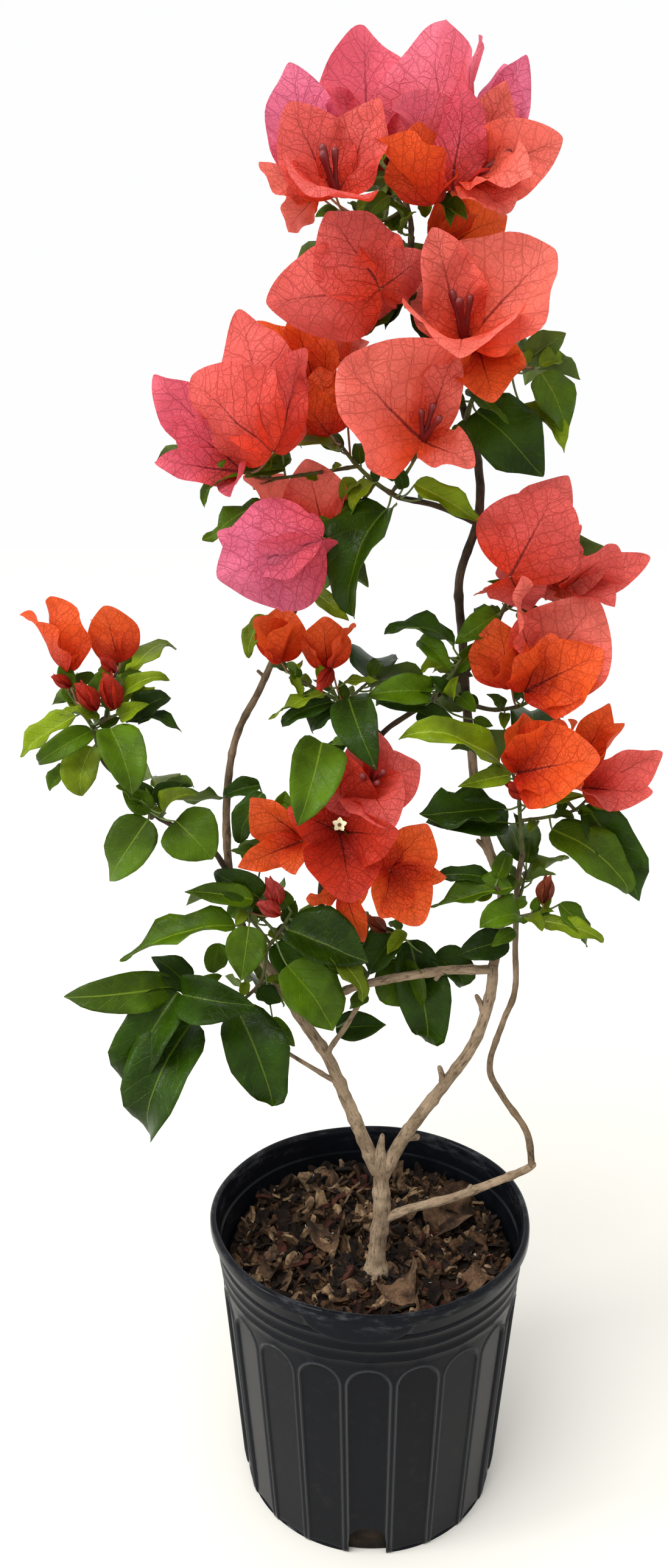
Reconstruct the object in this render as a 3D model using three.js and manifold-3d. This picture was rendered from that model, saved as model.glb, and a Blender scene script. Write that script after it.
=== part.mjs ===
// A bougainvillea bush, trained flat, in the nursery pot that it is sold in.
// Units are millimetres and +Z is up. The viewer stands at -Y, with +X to the
// right, and the origin is the middle of the pot's flat underside.
import * as THREE from "three";
import { mergeVertices } from "three/addons/utils/BufferGeometryUtils.js";
import Module from "manifold-3d";

const wasm = await Module();
wasm.setup();

// Pot: a three-gallon nursery pot with arched flutes and a rolled lip
const POT_HEIGHT = 252;
const LIP_RADIUS = 138;
const LIP_HEIGHT = 11;
const LIP_OVERHANG = 3.5;
const LIP_ROUNDING = 2;
const RIM_WIDTH = 4;
const SHOULDER_RADIUS = 128.5;
const BASE_RADIUS = 111;
const POT_WALL = 2;
const FLUTES = 20;
const FLUTE_DEPTH = 2.4;
const FLUTE_TOP = 194;
const FLUTE_ARCH = 15;
const FLUTE_SHARE = 0.84;
const POT_FACETS_PER_FLUTE = 3;
const RING_LEVELS = [204, 215, 227];
const RING_STEP = 1.6;
const DRAIN_HOLES = 4;
const DRAIN_WIDTH = 31;
const DRAIN_HEIGHT = 25;
const DRAIN_CORNER = 6;
const DRAIN_REACH = 6;
const SOIL_TOP = 208;
const SOIL_RISE = 0.07;

// Clear space between two pieces that meet, and the sliver that joining
// blades may leave
const GAP = 0.3;
const SLIVER = 0.25;

// Limbs and twigs are tubes of flat facets
const LIMB_SIDES = 7;
const THIN_LIMB_SIDES = 6;
const THIN_LIMB_RADIUS = 3;
const LIMB_STEP = 32;
const STUB_SIDES = 4;
const STUB_TAPER = [0.7, 0.4];
const TWIG_SIDES = 3;
const TWIG_STEP = 24;
const STEM_RADII = [2, 1.3];
const SHOOT_RADII = [1.5, 1.1];
const BLOOM_STALK_RADII = [1, 0.9];

// Leaves and bracts: an outline is a half width at a share of the length, and
// widths are shares of the length too. Curl and roll are in radians. Roots are
// sunk in what carries them, and a leaf's root is looked for along its shoot.
const BLADE_THICKNESS = 1.4;
const STALK_RADIUS = 0.7;
const SUNK = 2;
const ROOT_STEPS = 24;
const LEAF_STALK = 10;
const LEAF_WIDTH = 0.6;
const LEAF_CURL = -0.45;
const LEAF_ROLL = [-0.45, 0.45];
const LEAF_OUTLINE = [[0.34, 1]];
const BRACT_WIDTH = 0.84;
const BRACT_CURL = 0.75;
const BRACT_OUTLINE = [[0.3, 0.7], [0.62, 1]];
const BUD_SHAPE = [0.05, 0.26, 0.3, 0.04];
const SMALLEST_BLADE = 43;

// Back twigs: the span of a shoot that they grow from, their reach, how far
// they spread to either side, and their leaves, each with how far along the
// twig it grows and how far it is swung round. Leaves droop.
const BACK_TWIG_SPAN = [0.3, 0.9];
const BACK_TWIG_REACH = [26, 52];
const BACK_TWIG_SPREAD = [-0.8, 0.8];
const BACK_TWIG_CLIMB = [-0.1, 0.8];
const BACK_LEAVES = [[0.6, -0.9], [1, 0.4]];
const BACK_LEAF_SWING = [0, 0.4];
const BACK_LEAF_LENGTH = [40, 66];
const BACK_LEAF_DROOP = 0.35;

// Leaves face up, and outwards from the plant. A bloom's axis is drawn out
// towards the viewer or away.
const UPRIGHT = new THREE.Vector3(0, 0, 1);
const LEAF_LIFT = new THREE.Vector3(0, 0, 0.7);
const TO_VIEWER = new THREE.Vector3(0, -0.75, 0);
const FACE_ON = new THREE.Vector3(1, 3, 1);

// The viewer's eye. A place is written as it shows from there: x and z on the
// upright plane through the pot's middle, then how far behind that plane it
// lies. seen() slides it along the line of sight to that depth.
const EYE = new THREE.Vector3(0, -900, 862);

function seen([x, z, depth]) {
  const sight = new THREE.Vector3(x, 0, z).sub(EYE);
  return sight.multiplyScalar(1 - depth / EYE.y).add(EYE);
}

// How large a length at this place is, against how it shows on the plane
function nearness(place) {
  return 1 - place.y / EYE.y;
}

// Woody limbs: each runs from inside its parent, along places as seen, and its
// radius changes evenly through the listed values. Young ones have darker bark.
// A stub is a snag or a cut shoot: how far along the limb, its bearing in
// degrees and its length.
const LIMBS = [
  {
    name: "trunk",
    route: [[5, 174, -31], [7, 219, -27], [10, 250, -23], [9, 279, -20], [8, 303, -18], [10, 324, -17]],
    radii: [9, 7.6, 7, 7.2, 6.6, 3],
  },
  {
    name: "left_bough",
    parent: "trunk",
    route: [[6, 287, -18], [-15, 341, -12], [-38, 398, -4], [-49, 415, 0], [-88, 478, 9], [-106, 508, 13]],
    radii: [6, 5.4, 4.8, 4.4, 4],
    stubs: [[0.42, 115, 9]],
  },
  {
    name: "left_riser",
    parent: "left_bough",
    route: [
      [-105, 505, 13], [-114, 540, 16], [-117, 611, 20], [-108, 669, 22],
      [-88, 709, 21], [-62, 767, 18], [-57, 778, 18],
    ],
    radii: [3.8, 3.2, 2.8, 2.3],
    stubs: [[0.62, 60, 6], [0.76, 150, 6]],
  },
  {
    name: "dead_twig",
    parent: "left_bough",
    route: [[-28, 371, -8], [-50, 385, -12], [-73, 400, -15]],
    radii: [2.3, 1.9, 1.5],
  },
  {
    name: "inner_twig",
    parent: "left_bough",
    route: [[-37, 396, -4], [-34, 404, -8], [-23, 421, -10], [-10, 445, -9]],
    radii: [2.4, 2.2, 1.9],
  },
  {
    name: "left_shoot",
    parent: "left_riser",
    young: true,
    route: [
      [-115, 552, 17], [-130, 577, 4], [-177, 607, -14], [-194, 629, -18], [-213, 647, -21],
      [-219, 668, -22],
    ],
    radii: [2.4, 2, 1.7],
  },
  {
    name: "right_bough",
    parent: "trunk",
    route: [[9, 280, -18], [28, 321, -16], [61, 371, -13], [85, 410, -11], [97, 453, -9], [99, 482, -8]],
    radii: [5.8, 5.3, 4.7, 4.5, 4.3],
    stubs: [[0.2, 350, 8], [0.47, 118, 12], [0.66, 60, 8], [0.8, 128, 13]],
  },
  {
    name: "cross_branch",
    parent: "right_bough",
    route: [[97, 476, -8], [63, 475, -13], [22, 468, -17], [-17, 458, -20], [-36, 448, -21]],
    radii: [3.8, 3.6, 3.2],
    stubs: [[0.3, 250, 6]],
  },
  {
    name: "centre_stem",
    parent: "cross_branch",
    young: true,
    route: [
      [-33, 450, -21], [-40, 500, -15], [-40, 560, -7], [-26, 606, 0],
      [4, 670, 4], [28, 689, 4], [65, 716, 2], [90, 748, 0],
    ],
    radii: [3, 2.8, 2.6, 2.3, 2, 1.7],
  },
  {
    name: "low_vine",
    parent: "trunk",
    route: [[9, 240, -24], [35, 252, -27], [72, 264, -29], [105, 279, -34], [135, 294, -38], [140, 299, -39]],
    radii: [3.9, 3.6, 3.4, 3],
    stubs: [[0.55, 75, 5]],
  },
  {
    name: "vine_riser",
    parent: "low_vine",
    young: true,
    route: [
      [138, 296, -39], [132, 328, -38], [111, 361, -36], [99, 386, -34],
      [109, 431, -31], [117, 456, -29], [116, 500, -25], [116, 552, -20], [119, 577, -18],
    ],
    radii: [2.8, 2.5, 2.3, 2.1],
  },
  {
    name: "leader_foot",
    parent: "right_bough",
    route: [[99, 478, -8], [103, 515, -2], [103, 550, 5], [91, 582, 13], [80, 628, 18], [75, 669, 20]],
    radii: [4.1, 3.9, 3.8, 3.6],
    stubs: [[0.5, 140, 12]],
  },
  {
    name: "leader",
    parent: "leader_foot",
    young: true,
    route: [
      [75, 665, 20], [70, 705, 18], [67, 743, 14], [63, 791, 8], [76, 838, 0],
      [75, 872, -5], [64, 911, -12], [38, 960, -24], [23, 998, -34], [23, 1031, -40],
    ],
    radii: [3.5, 3.4, 3.1, 2.8, 2.3],
    stubs: [[0.46, 35, 11]],
  },
  {
    name: "side_branch",
    parent: "leader",
    young: true,
    route: [[75, 833, 0], [46, 845, -5], [14, 852, -12]],
    radii: [2.5, 2.2, 1.9],
  },
];

// Masses of foliage. Each grows from the end of its stem, the first shoot, or
// from a later shoot that starts part way along an earlier one. Every place is
// as seen. A leaf has the foot and the tip of its blade, and its width. A bloom
// has its foot and the tips of its bracts, and is a closed bud if it has only
// one. backTwigs are seeded twigs with leaves on the side away from the viewer.
const MASSES = [
  {
    name: "top_flowers",
    seed: 11,
    backTwigs: 2,
    shoots: [
      {
        route: [[23, 1026, -40], [22, 1042, -42], [12, 1066, -42], [-2, 1080, -40]],
        leaves: [
          [[18, 1036, -46], [4, 1050, -52], 11], [[16, 1032, -50], [26, 1046, -60], 12],
          [[6, 1056, -52], [-12, 1040, -60], 14],
        ],
        blooms: [
          { foot: [-6, 1086, -14], tips: [[-11, 1161, -8], [-37, 1121, -22], [14, 1113, -30]] },
          { foot: [37, 1050, -70], tips: [[-7, 1090, -84], [27, 1103, -76], [50, 1084, -56]] },
        ],
      },
      {
        from: [0, 0.35],
        route: [[0, 1040, -48], [-24, 1046, -52]],
        leaves: [
          [[-14, 1036, -56], [-26, 1022, -62], 12],
        ],
        blooms: [
          { foot: [-28, 1048, -82], tips: [[-64, 1118, -88], [0, 1117, -86], [-52, 1058, -126]] },
          { foot: [-44, 1066, -46], tips: [[-62, 1138, -40], [-28, 1118, -56], [-78, 1092, -50]] },
          { foot: [-44, 1054, -36], tips: [[-84, 1078, -46], [-64, 1032, -40], [-60, 1064, -12]] },
        ],
      },
      {
        from: [0, 0.5],
        route: [[34, 1060, -44], [50, 1066, -44]],
        leaves: [
          [[48, 1052, -52], [62, 1040, -60], 12], [[40, 1056, -50], [50, 1036, -58], 11],
        ],
        blooms: [
          { foot: [42, 1088, -42], tips: [[37, 1165, -36], [74, 1154, -26], [4, 1122, -64]] },
          { foot: [51, 1059, -72], tips: [[50, 1128, -94], [92, 1128, -72], [74, 1096, -34]] },
          { foot: [68, 1072, -40], tips: [[101, 1142, -34], [84, 1140, -18], [107, 1106, -30]] },
          {
            foot: [68, 1066, -84],
            tips: [[130, 1091, -80], [108, 1060, -120], [98, 1046, -60], [54, 1052, -70]],
          },
        ],
      },
    ],
  },
  {
    name: "upper_left_flowers",
    seed: 12,
    backTwigs: 1,
    shoots: [
      {
        route: [[30, 980, -29], [16, 990, -46], [4, 993, -58]],
        leaves: [
          [[24, 992, -44], [6, 968, -58], 22], [[14, 984, -50], [-16, 962, -56], 20],
          [[26, 1000, -34], [12, 1022, -40], 12], [[30, 984, -42], [36, 956, -52], 18],
        ],
        blooms: [
          { foot: [2, 996, -66], tips: [[-43, 1047, -84], [-80, 988, -50], [33, 1018, -62]] },
        ],
      },
    ],
  },
  {
    name: "upper_right_flowers",
    seed: 13,
    backTwigs: 2,
    shoots: [
      {
        route: [[64, 905, -12], [72, 925, -24], [96, 940, -26], [112, 942, -22]],
        leaves: [
          [[72, 912, -30], [122, 866, -48], 50], [[66, 928, -22], [96, 904, -50], 19],
          [[104, 916, -24], [137, 883, -30], 16], [[118, 938, -26], [138, 896, -30], 32],
          [[70, 902, -18], [54, 892, -28], 11],
        ],
        blooms: [
          { foot: [72, 956, -44], tips: [[107, 944, -64], [84, 918, -78], [56, 937, -66]] },
        ],
      },
      {
        from: [0, 0.35],
        route: [[66, 950, -40], [60, 985, -34], [58, 1010, -30]],
        leaves: [
          [[66, 1004, -36], [100, 1012, -44], 16], [[62, 992, -40], [52, 976, -48], 10],
          [[64, 1006, -34], [44, 1018, -36], 12],
        ],
        blooms: [
          {
            foot: [62, 961, -64],
            tips: [[38, 1035, -84], [124, 1021, -78], [40, 950, -128], [24, 1013, -48]],
          },
          { foot: [38, 1020, -26], tips: [[57, 1062, -30], [89, 1044, -18], [70, 1043, -44]] },
        ],
      },
    ],
  },
  {
    name: "middle_left_flowers",
    seed: 14,
    backTwigs: 2,
    shoots: [
      {
        route: [[17, 851, -12], [2, 860, -14], [-14, 874, -14], [-34, 898, -12]],
        leaves: [
          [[8, 843, -28], [-15, 763, -44], 50], [[33, 850, -14], [54, 841, -22], 19],
          [[-2, 862, -24], [-18, 842, -38], 17], [[-27, 886, -24], [-69, 880, -30], 20],
          [[28, 861, -30], [78, 832, -30], 18], [[20, 858, -28], [14, 876, -34], 11],
          [[-14, 862, -26], [-26, 849, -32], 14],
        ],
        blooms: [
          { foot: [-42, 926, -24], tips: [[-85, 976, -32], [-44, 983, -28], [-26, 950, -30]] },
          { foot: [-32, 898, -34], tips: [[-60, 922, -50], [-36, 946, -30], [-18, 925, -10]] },
          { foot: [-24, 946, -4], tips: [[-62, 981, -6], [-31, 975, 0], [-6, 960, 2]] },
        ],
      },
      {
        from: [0, 0.55],
        route: [[-45, 869, -22], [-83, 865, -28], [-98, 869, -32]],
        leaves: [
          [[-68, 872, -34], [-98, 866, -42], 9], [[-70, 890, -34], [-82, 870, -42], 11],
          [[-84, 868, -34], [-128, 844, -44], 16],
        ],
        blooms: [
          { foot: [-76, 886, -52], tips: [[-133, 941, -88], [-97, 983, -56], [-50, 954, -62]] },
          {
            foot: [-99, 870, -42],
            tips: [[-162, 937, -40], [-150, 911, -54], [-162, 876, -60], [-106, 850, -74]],
          },
        ],
      },
      {
        from: [0, 0.1],
        route: [[24, 872, -34], [32, 886, -46]],
        leaves: [
          [[30, 890, -44], [18, 876, -52], 9],
        ],
        blooms: [
          { foot: [33, 893, -56], tips: [[-29, 945, -84], [53, 956, -70], [71, 872, -96]] },
        ],
      },
      {
        from: [0, 0.3],
        route: [[-16, 842, -26], [-32, 828, -34]],
        leaves: [
          [[-36, 826, -36], [-48, 808, -44], 12], [[-84, 848, -30], [-130, 819, -36], 17],
        ],
        blooms: [
          { foot: [-44, 820, -48], tips: [[-126, 824, -56], [-120, 790, -86], [-70, 768, -60]] },
          { foot: [-38, 824, -22], tips: [[-98, 866, -24], [-48, 879, -20], [-22, 853, -30]] },
        ],
      },
    ],
  },
  {
    name: "riser_tip_leaves",
    seed: 15,
    backTwigs: 1,
    shoots: [
      {
        route: [[-58, 774, 18], [-54, 792, 16], [-60, 812, 14]],
        leaves: [
          [[-44, 780, 8], [-20, 760, -8], 14], [[-84, 764, 6], [-97, 731, -4], 17],
          [[-58, 806, 10], [-72, 790, 0], 14],
        ],
      },
    ],
  },
  {
    name: "small_orange_flowers",
    seed: 16,
    backTwigs: 1,
    shoots: [
      {
        route: [[6, 671, 4], [-10, 684, -8], [-28, 699, -14], [-33, 708, -14]],
        leaves: [
          [[-39, 703, -20], [-83, 683, -30], 18], [[-33, 697, -14], [-72, 677, -16], 17],
          [[-24, 712, -20], [3, 714, -26], 10], [[-20, 700, -20], [2, 643, -62], 36],
          [[-26, 692, -12], [-48, 672, -10], 20],
        ],
        blooms: [
          { foot: [-36, 722, -16], tips: [[-40, 763, -26], [-15, 758, -12], [-57, 749, -12]] },
          { foot: [-33, 724, -24], tips: [[-44, 706, -30]] },
        ],
      },
      {
        from: [0, 0.8],
        route: [[-50, 710, -12], [-66, 720, -10]],
        leaves: [
          [[-66, 716, -14], [-56, 700, -22], 9],
        ],
        blooms: [
          { foot: [-72, 728, -10], tips: [[-93, 761, -14], [-70, 772, 0], [-60, 760, -28]] },
        ],
      },
    ],
  },
  {
    name: "centre_right_leaves",
    seed: 17,
    backTwigs: 1,
    shoots: [
      {
        route: [[46, 699, 3], [48, 706, -12], [58, 718, -14], [66, 732, -14]],
        leaves: [
          [[43, 706, -18], [-6, 702, -28], 25], [[39, 695, -8], [2, 697, -10], 15],
          [[34, 690, -2], [61, 675, -4], 20], [[60, 740, -22], [8, 749, -30], 27],
          [[34, 746, -22], [58, 722, -32], 17], [[62, 722, -10], [81, 746, -6], 14],
          [[60, 702, -18], [64, 718, -26], 10], [[66, 702, -10], [78, 690, -18], 13],
          [[77, 684, 0], [92, 679, -4], 9], [[58, 702, -14], [42, 718, -20], 13],
        ],
      },
    ],
  },
  {
    name: "right_top_flowers",
    seed: 18,
    backTwigs: 2,
    shoots: [
      {
        route: [[89, 745, 0], [94, 762, -4], [102, 782, -10]],
        leaves: [
          [[92, 765, -10], [61, 743, -20], 22], [[108, 768, -8], [130, 752, -14], 18],
          [[102, 778, -14], [84, 790, -18], 13],
        ],
        blooms: [
          { foot: [98, 796, -22], tips: [[134, 854, -44], [140, 866, -6], [86, 812, -14]] },
          { foot: [101, 788, -12], tips: [[71, 779, -8], [116, 768, -30], [141, 772, -14]] },
        ],
      },
      {
        from: [0, 0.6],
        route: [[118, 782, -6], [138, 790, -10]],
        leaves: [
          [[136, 788, -12], [150, 772, -16], 12],
        ],
        blooms: [
          {
            foot: [146, 783, -14],
            tips: [[177, 818, -36], [203, 808, -16], [152, 832, -4], [178, 770, -36]],
          },
          { foot: [134, 792, -10], tips: [[172, 798, -30], [150, 816, -8]] },
        ],
      },
    ],
  },
  {
    name: "right_middle_flowers",
    seed: 19,
    backTwigs: 1,
    shoots: [
      {
        route: [[70, 697, 18], [92, 692, 12], [114, 696, 0], [126, 704, -8]],
        leaves: [
          [[122, 700, -10], [146, 686, -14], 18], [[108, 700, -6], [128, 712, -12], 14],
          [[100, 694, 4], [86, 704, -4], 11],
        ],
        blooms: [
          { foot: [121, 704, -22], tips: [[168, 775, -34], [176, 717, -40], [103, 794, -62]] },
          { foot: [119, 705, -32], tips: [[154, 747, -66], [128, 755, -46]] },
          { foot: [105, 709, -26], tips: [[92, 763, -30], [112, 752, -40], [80, 740, -16]] },
        ],
      },
    ],
  },
  {
    name: "left_tip_flowers",
    seed: 20,
    backTwigs: 2,
    shoots: [
      {
        route: [[-218, 664, -22], [-221, 676, -24], [-230, 690, -26], [-238, 704, -26]],
        leaves: [
          [[-207, 675, -42], [-192, 621, -62], 35], [[-216, 680, -36], [-247, 685, -42], 17],
          [[-234, 685, -30], [-281, 652, -38], 23], [[-222, 673, -34], [-266, 646, -46], 20],
          [[-222, 660, -30], [-232, 620, -44], 32], [[-238, 642, -24], [-258, 624, -28], 15],
          [[-214, 656, -22], [-230, 642, -24], 14],
        ],
        blooms: [
          { foot: [-240, 719, -26], tips: [[-272, 765, -34], [-248, 778, -30], [-218, 745, -18]] },
          { foot: [-217, 689, -40], tips: [[-231, 712, -44]] },
          { foot: [-236, 708, -30], tips: [[-251, 717, -34]] },
        ],
      },
      {
        from: [0, 0.3],
        route: [[-206, 684, -22], [-194, 690, -20]],
        leaves: [
          [[-197, 700, -30], [-158, 714, -34], 14], [[-199, 684, -34], [-176, 695, -40], 15],
          [[-186, 684, -20], [-158, 700, -22], 25], [[-194, 680, -26], [-152, 672, -26], 18],
        ],
      },
      {
        from: [0, 0.55],
        route: [[-212, 706, -26], [-199, 720, -26]],
        leaves: [
          [[-206, 704, -30], [-194, 714, -40], 10],
        ],
        blooms: [
          { foot: [-197, 727, -26], tips: [[-208, 770, -36], [-188, 752, -14], [-219, 760, -18]] },
          { foot: [-203, 690, -40], tips: [[-208, 720, -44]] },
          { foot: [-201, 719, -36], tips: [[-212, 732, -40]] },
        ],
      },
    ],
  },
  {
    name: "left_middle_leaves",
    seed: 21,
    backTwigs: 1,
    shoots: [
      {
        route: [[-175, 605, -13], [-178, 603, -24], [-180, 614, -32]],
        leaves: [
          [[-180, 601, -34], [-213, 549, -42], 42], [[-158, 600, -40], [-129, 568, -50], 48],
          [[-166, 606, -36], [-140, 621, -46], 19], [[-177, 610, -30], [-200, 624, -32], 20],
          [[-172, 614, -24], [-152, 630, -22], 18], [[-178, 614, -24], [-186, 632, -20], 14],
        ],
      },
    ],
  },
  {
    name: "low_left_leaves",
    seed: 22,
    backTwigs: 2,
    shoots: [
      {
        route: [[-88, 478, 9], [-86, 492, -4], [-76, 506, -12], [-66, 524, -14]],
        leaves: [
          [[-69, 508, -22], [-3, 480, -46], 46], [[-70, 477, -30], [-32, 419, -44], 50],
          [[-36, 492, -34], [-7, 445, -50], 22], [[-44, 486, -18], [-14, 460, -24], 26],
          [[-80, 496, -6], [-60, 466, -4], 26], [[-83, 430, -16], [-64, 404, -20], 12],
        ],
      },
      {
        from: [0, 0.3],
        route: [[-92, 462, -6], [-116, 440, -14], [-138, 432, -18], [-147, 444, -20]],
        leaves: [
          [[-162, 457, -26], [-257, 446, -46], 34], [[-161, 452, -30], [-205, 364, -36], 44],
          [[-150, 424, -30], [-187, 321, -54], 60], [[-112, 438, -22], [-83, 346, -44], 52],
          [[-157, 450, -36], [-98, 441, -52], 40], [[-152, 458, -20], [-182, 483, -20], 28],
          [[-126, 496, -16], [-132, 470, -14], 20], [[-96, 452, -6], [-76, 444, -6], 18],
        ],
      },
      {
        from: [0, 0.45],
        route: [[-92, 508, -14], [-100, 520, -20], [-98, 536, -20]],
        leaves: [
          [[-112, 511, -34], [-208, 478, -54], 31], [[-101, 511, -40], [-108, 463, -60], 34],
          [[-97, 534, -30], [-153, 540, -40], 20], [[-92, 536, -22], [-129, 557, -24], 28],
          [[-90, 562, -14], [-114, 576, -16], 20], [[-104, 524, -32], [-112, 512, -40], 10],
        ],
        blooms: [
          { foot: [-76, 529, -22], tips: [[-85, 554, -24]] },
          { foot: [-75, 521, -26], tips: [[-94, 533, -30]] },
        ],
      },
    ],
  },
  {
    name: "low_centre_leaves",
    seed: 23,
    backTwigs: 2,
    shoots: [
      {
        route: [[-12, 441, -9], [-8, 462, -4], [12, 492, 0], [26, 508, -2]],
        leaves: [
          [[30, 501, 8], [46, 408, 10], 42], [[18, 484, 4], [34, 441, 4], 42],
          [[20, 508, -6], [-3, 470, -14], 32], [[50, 486, 4], [73, 460, 0], 28],
          [[-30, 422, 10], [12, 425, 6], 26], [[26, 508, -12], [12, 488, -24], 12],
          [[-4, 452, -10], [-18, 440, -14], 14],
        ],
        blooms: [
          { foot: [11, 508, -12], tips: [[-5, 521, -14]] },
        ],
      },
    ],
  },
  {
    name: "centre_flowers",
    seed: 24,
    backTwigs: 2,
    shoots: [
      {
        route: [[-41, 545, -8], [-34, 556, -24], [-22, 572, -36], [-12, 586, -42]],
        leaves: [
          [[-26, 566, -44], [-10, 548, -50], 12],
        ],
        blooms: [
          {
            foot: [0, 630, -34],
            tips: [[-4, 677, -36], [35, 647, -48], [14, 596, -80], [-46, 620, -58]],
          },
          {
            foot: [-27, 592, -40],
            tips: [[-67, 612, -62], [16, 592, -80], [-12, 533, -74], [-26, 656, -60]],
          },
          {
            foot: [22, 550, -44],
            tips: [[41, 600, -46], [3, 521, -68], [58, 555, -40], [36, 514, -58]],
          },
          { foot: [-20, 538, -34], tips: [[-52, 538, -46], [-7, 498, -46]] },
        ],
      },
      {
        from: [0, 0.3],
        route: [[-52, 574, -28], [-74, 598, -24], [-84, 612, -22]],
        leaves: [
          [[-88, 624, -14], [-106, 582, -14], 22], [[-90, 630, -4], [-118, 620, -2], 16],
        ],
        blooms: [
          { foot: [-57, 584, -38], tips: [[-98, 619, -38], [-108, 562, -52], [-64, 558, -62]] },
        ],
      },
      {
        from: [0, 0.45],
        route: [[-36, 592, -28], [-40, 640, -24], [-39, 664, -24]],
        leaves: [
          [[-41, 665, -36], [-60, 597, -70], 42], [[-38, 648, -20], [-20, 668, -16], 16],
        ],
      },
    ],
  },
  {
    name: "right_low_flowers",
    seed: 25,
    backTwigs: 2,
    shoots: [
      {
        route: [[119, 574, -18], [116, 600, -19], [114, 622, -22], [108, 644, -26]],
        leaves: [
          [[98, 650, -34], [18, 668, -50], 25], [[106, 640, -40], [66, 630, -54], 17],
          [[102, 612, -24], [36, 608, -44], 38], [[106, 601, -16], [41, 601, -22], 32],
          [[130, 615, -30], [166, 623, -38], 11],
        ],
        blooms: [
          { foot: [126, 637, -46], tips: [[153, 684, -82], [113, 690, -50], [96, 648, -62]] },
          { foot: [158, 642, -30], tips: [[194, 683, -30], [181, 696, -22], [150, 685, -40]] },
          { foot: [121, 622, -40], tips: [[104, 634, -46]] },
        ],
      },
      {
        from: [0, 0.4],
        route: [[136, 606, -24], [158, 612, -26], [170, 624, -26]],
        leaves: [
          [[141, 596, -30], [203, 543, -46], 38], [[166, 616, -24], [212, 538, -28], 36],
          [[142, 606, -28], [158, 604, -34], 10],
        ],
        blooms: [
          { foot: [163, 630, -26], tips: [[223, 660, -30], [218, 627, -54], [187, 611, -60]] },
        ],
      },
    ],
  },
  {
    name: "right_foot_leaves",
    seed: 26,
    backTwigs: 1,
    shoots: [
      {
        route: [[116, 518, -24], [116, 522, -36], [108, 536, -42], [98, 548, -42]],
        leaves: [
          [[98, 553, -30], [48, 555, -34], 15], [[112, 547, -40], [46, 530, -44], 26],
          [[119, 523, -40], [87, 512, -56], 27], [[110, 502, -12], [70, 488, -16], 27],
          [[115, 510, -40], [97, 496, -52], 13],
        ],
      },
      {
        from: [0, 0.3],
        route: [[126, 524, -36], [138, 528, -36]],
        leaves: [
          [[135, 519, -40], [187, 501, -48], 16], [[150, 534, -34], [173, 497, -38], 22],
          [[124, 521, -42], [137, 510, -56], 14],
        ],
        blooms: [
          { foot: [137, 534, -38], tips: [[140, 558, -40]] },
        ],
      },
    ],
  },
];

// Colours, as seen in soft daylight
const COLOURS = {
  pot: 0x1d1f22,
  soil: 0x3b2a20,
  oldBark: 0x8d7b69,
  youngBark: 0x5b4a35,
  leaf: 0x3f6b1f,
  bract: 0xe0584f,
};

// A repeatable run of numbers between 0 and 1
function seededNumbers(seed) {
  let state = seed * 7919;
  return () => {
    state = (state * 16807) % 2147483647;
    return state / 2147483647;
  };
}

// A chance number between two limits
function within([low, high], random) {
  return THREE.MathUtils.lerp(low, high, random());
}

function solidFrom(positions, triangles) {
  const vertProperties = new Float32Array(positions);
  const triVerts = new Uint32Array(triangles);
  return new wasm.Manifold(new wasm.Mesh({ numProp: 3, vertProperties, triVerts }));
}

function solidFromGeometry(geometry) {
  geometry.deleteAttribute("normal");
  geometry.deleteAttribute("uv");
  const merged = mergeVertices(geometry);
  return solidFrom(merged.attributes.position.array, merged.index.array);
}

// The largest body of a solid: what a cut leaves loose is dropped
function largestBody(solid) {
  const bodies = solid.decompose().sort((a, b) => b.volume() - a.volume());
  return bodies[0];
}

function meshFrom(name, solid, colour, roughness) {
  const { vertProperties, triVerts } = solid.getMesh();
  const geometry = new THREE.BufferGeometry();
  geometry.setAttribute("position", new THREE.BufferAttribute(vertProperties, 3));
  geometry.setIndex(new THREE.BufferAttribute(triVerts, 1));
  const looks = { color: colour, roughness, metalness: 0, flatShading: true };
  const material = new THREE.MeshStandardMaterial(looks);
  const mesh = new THREE.Mesh(geometry, material);
  mesh.name = name;
  return mesh;
}

// A closed solid stretched over cross-sections, each a turn of points around
// the way ahead. The first and the last may be single points, which make tips.
function skin(rings) {
  const triangles = [];
  let first = 0;
  rings.slice(0, -1).forEach((ring, index) => {
    const next = first + ring.length;
    const nextRing = rings[index + 1];
    const sides = Math.max(ring.length, nextRing.length);
    for (let side = 0; side < sides; side++) {
      const turn = (side + 1) % sides;
      const [a, b] = [side, turn].map((corner) => first + (corner % ring.length));
      const [c, d] = [side, turn].map((corner) => next + (corner % nextRing.length));
      if (a !== b) {
        triangles.push(a, b, d);
      }
      if (c !== d) {
        triangles.push(a, d, c);
      }
    }
    first = next;
  });
  for (let corner = 1; corner < rings[0].length - 1; corner++) {
    triangles.push(0, corner + 1, corner);
  }
  for (let corner = 1; corner < rings.at(-1).length - 1; corner++) {
    triangles.push(first, first + corner, first + corner + 1);
  }
  return solidFrom(rings.flat().flatMap((point) => point.toArray()), triangles);
}

function curveThrough(points) {
  return new THREE.CatmullRomCurve3(points, false, "centripetal");
}

// The value a share of the way through an evenly spaced list
function along(values, share) {
  const place = share * (values.length - 1);
  const low = Math.min(Math.floor(place), values.length - 2);
  return THREE.MathUtils.lerp(values[low], values[low + 1], place - low);
}

// A curve as straight facets, so that what is set on it meets its tube
function faceted(curve, stepLength) {
  const count = Math.max(2, Math.round(curve.getLength() / stepLength));
  const corners = curve.getSpacedPoints(count);
  const path = new THREE.CurvePath();
  corners.slice(1).forEach((corner, index) => path.add(new THREE.LineCurve3(corners[index], corner)));
  return path;
}

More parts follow.
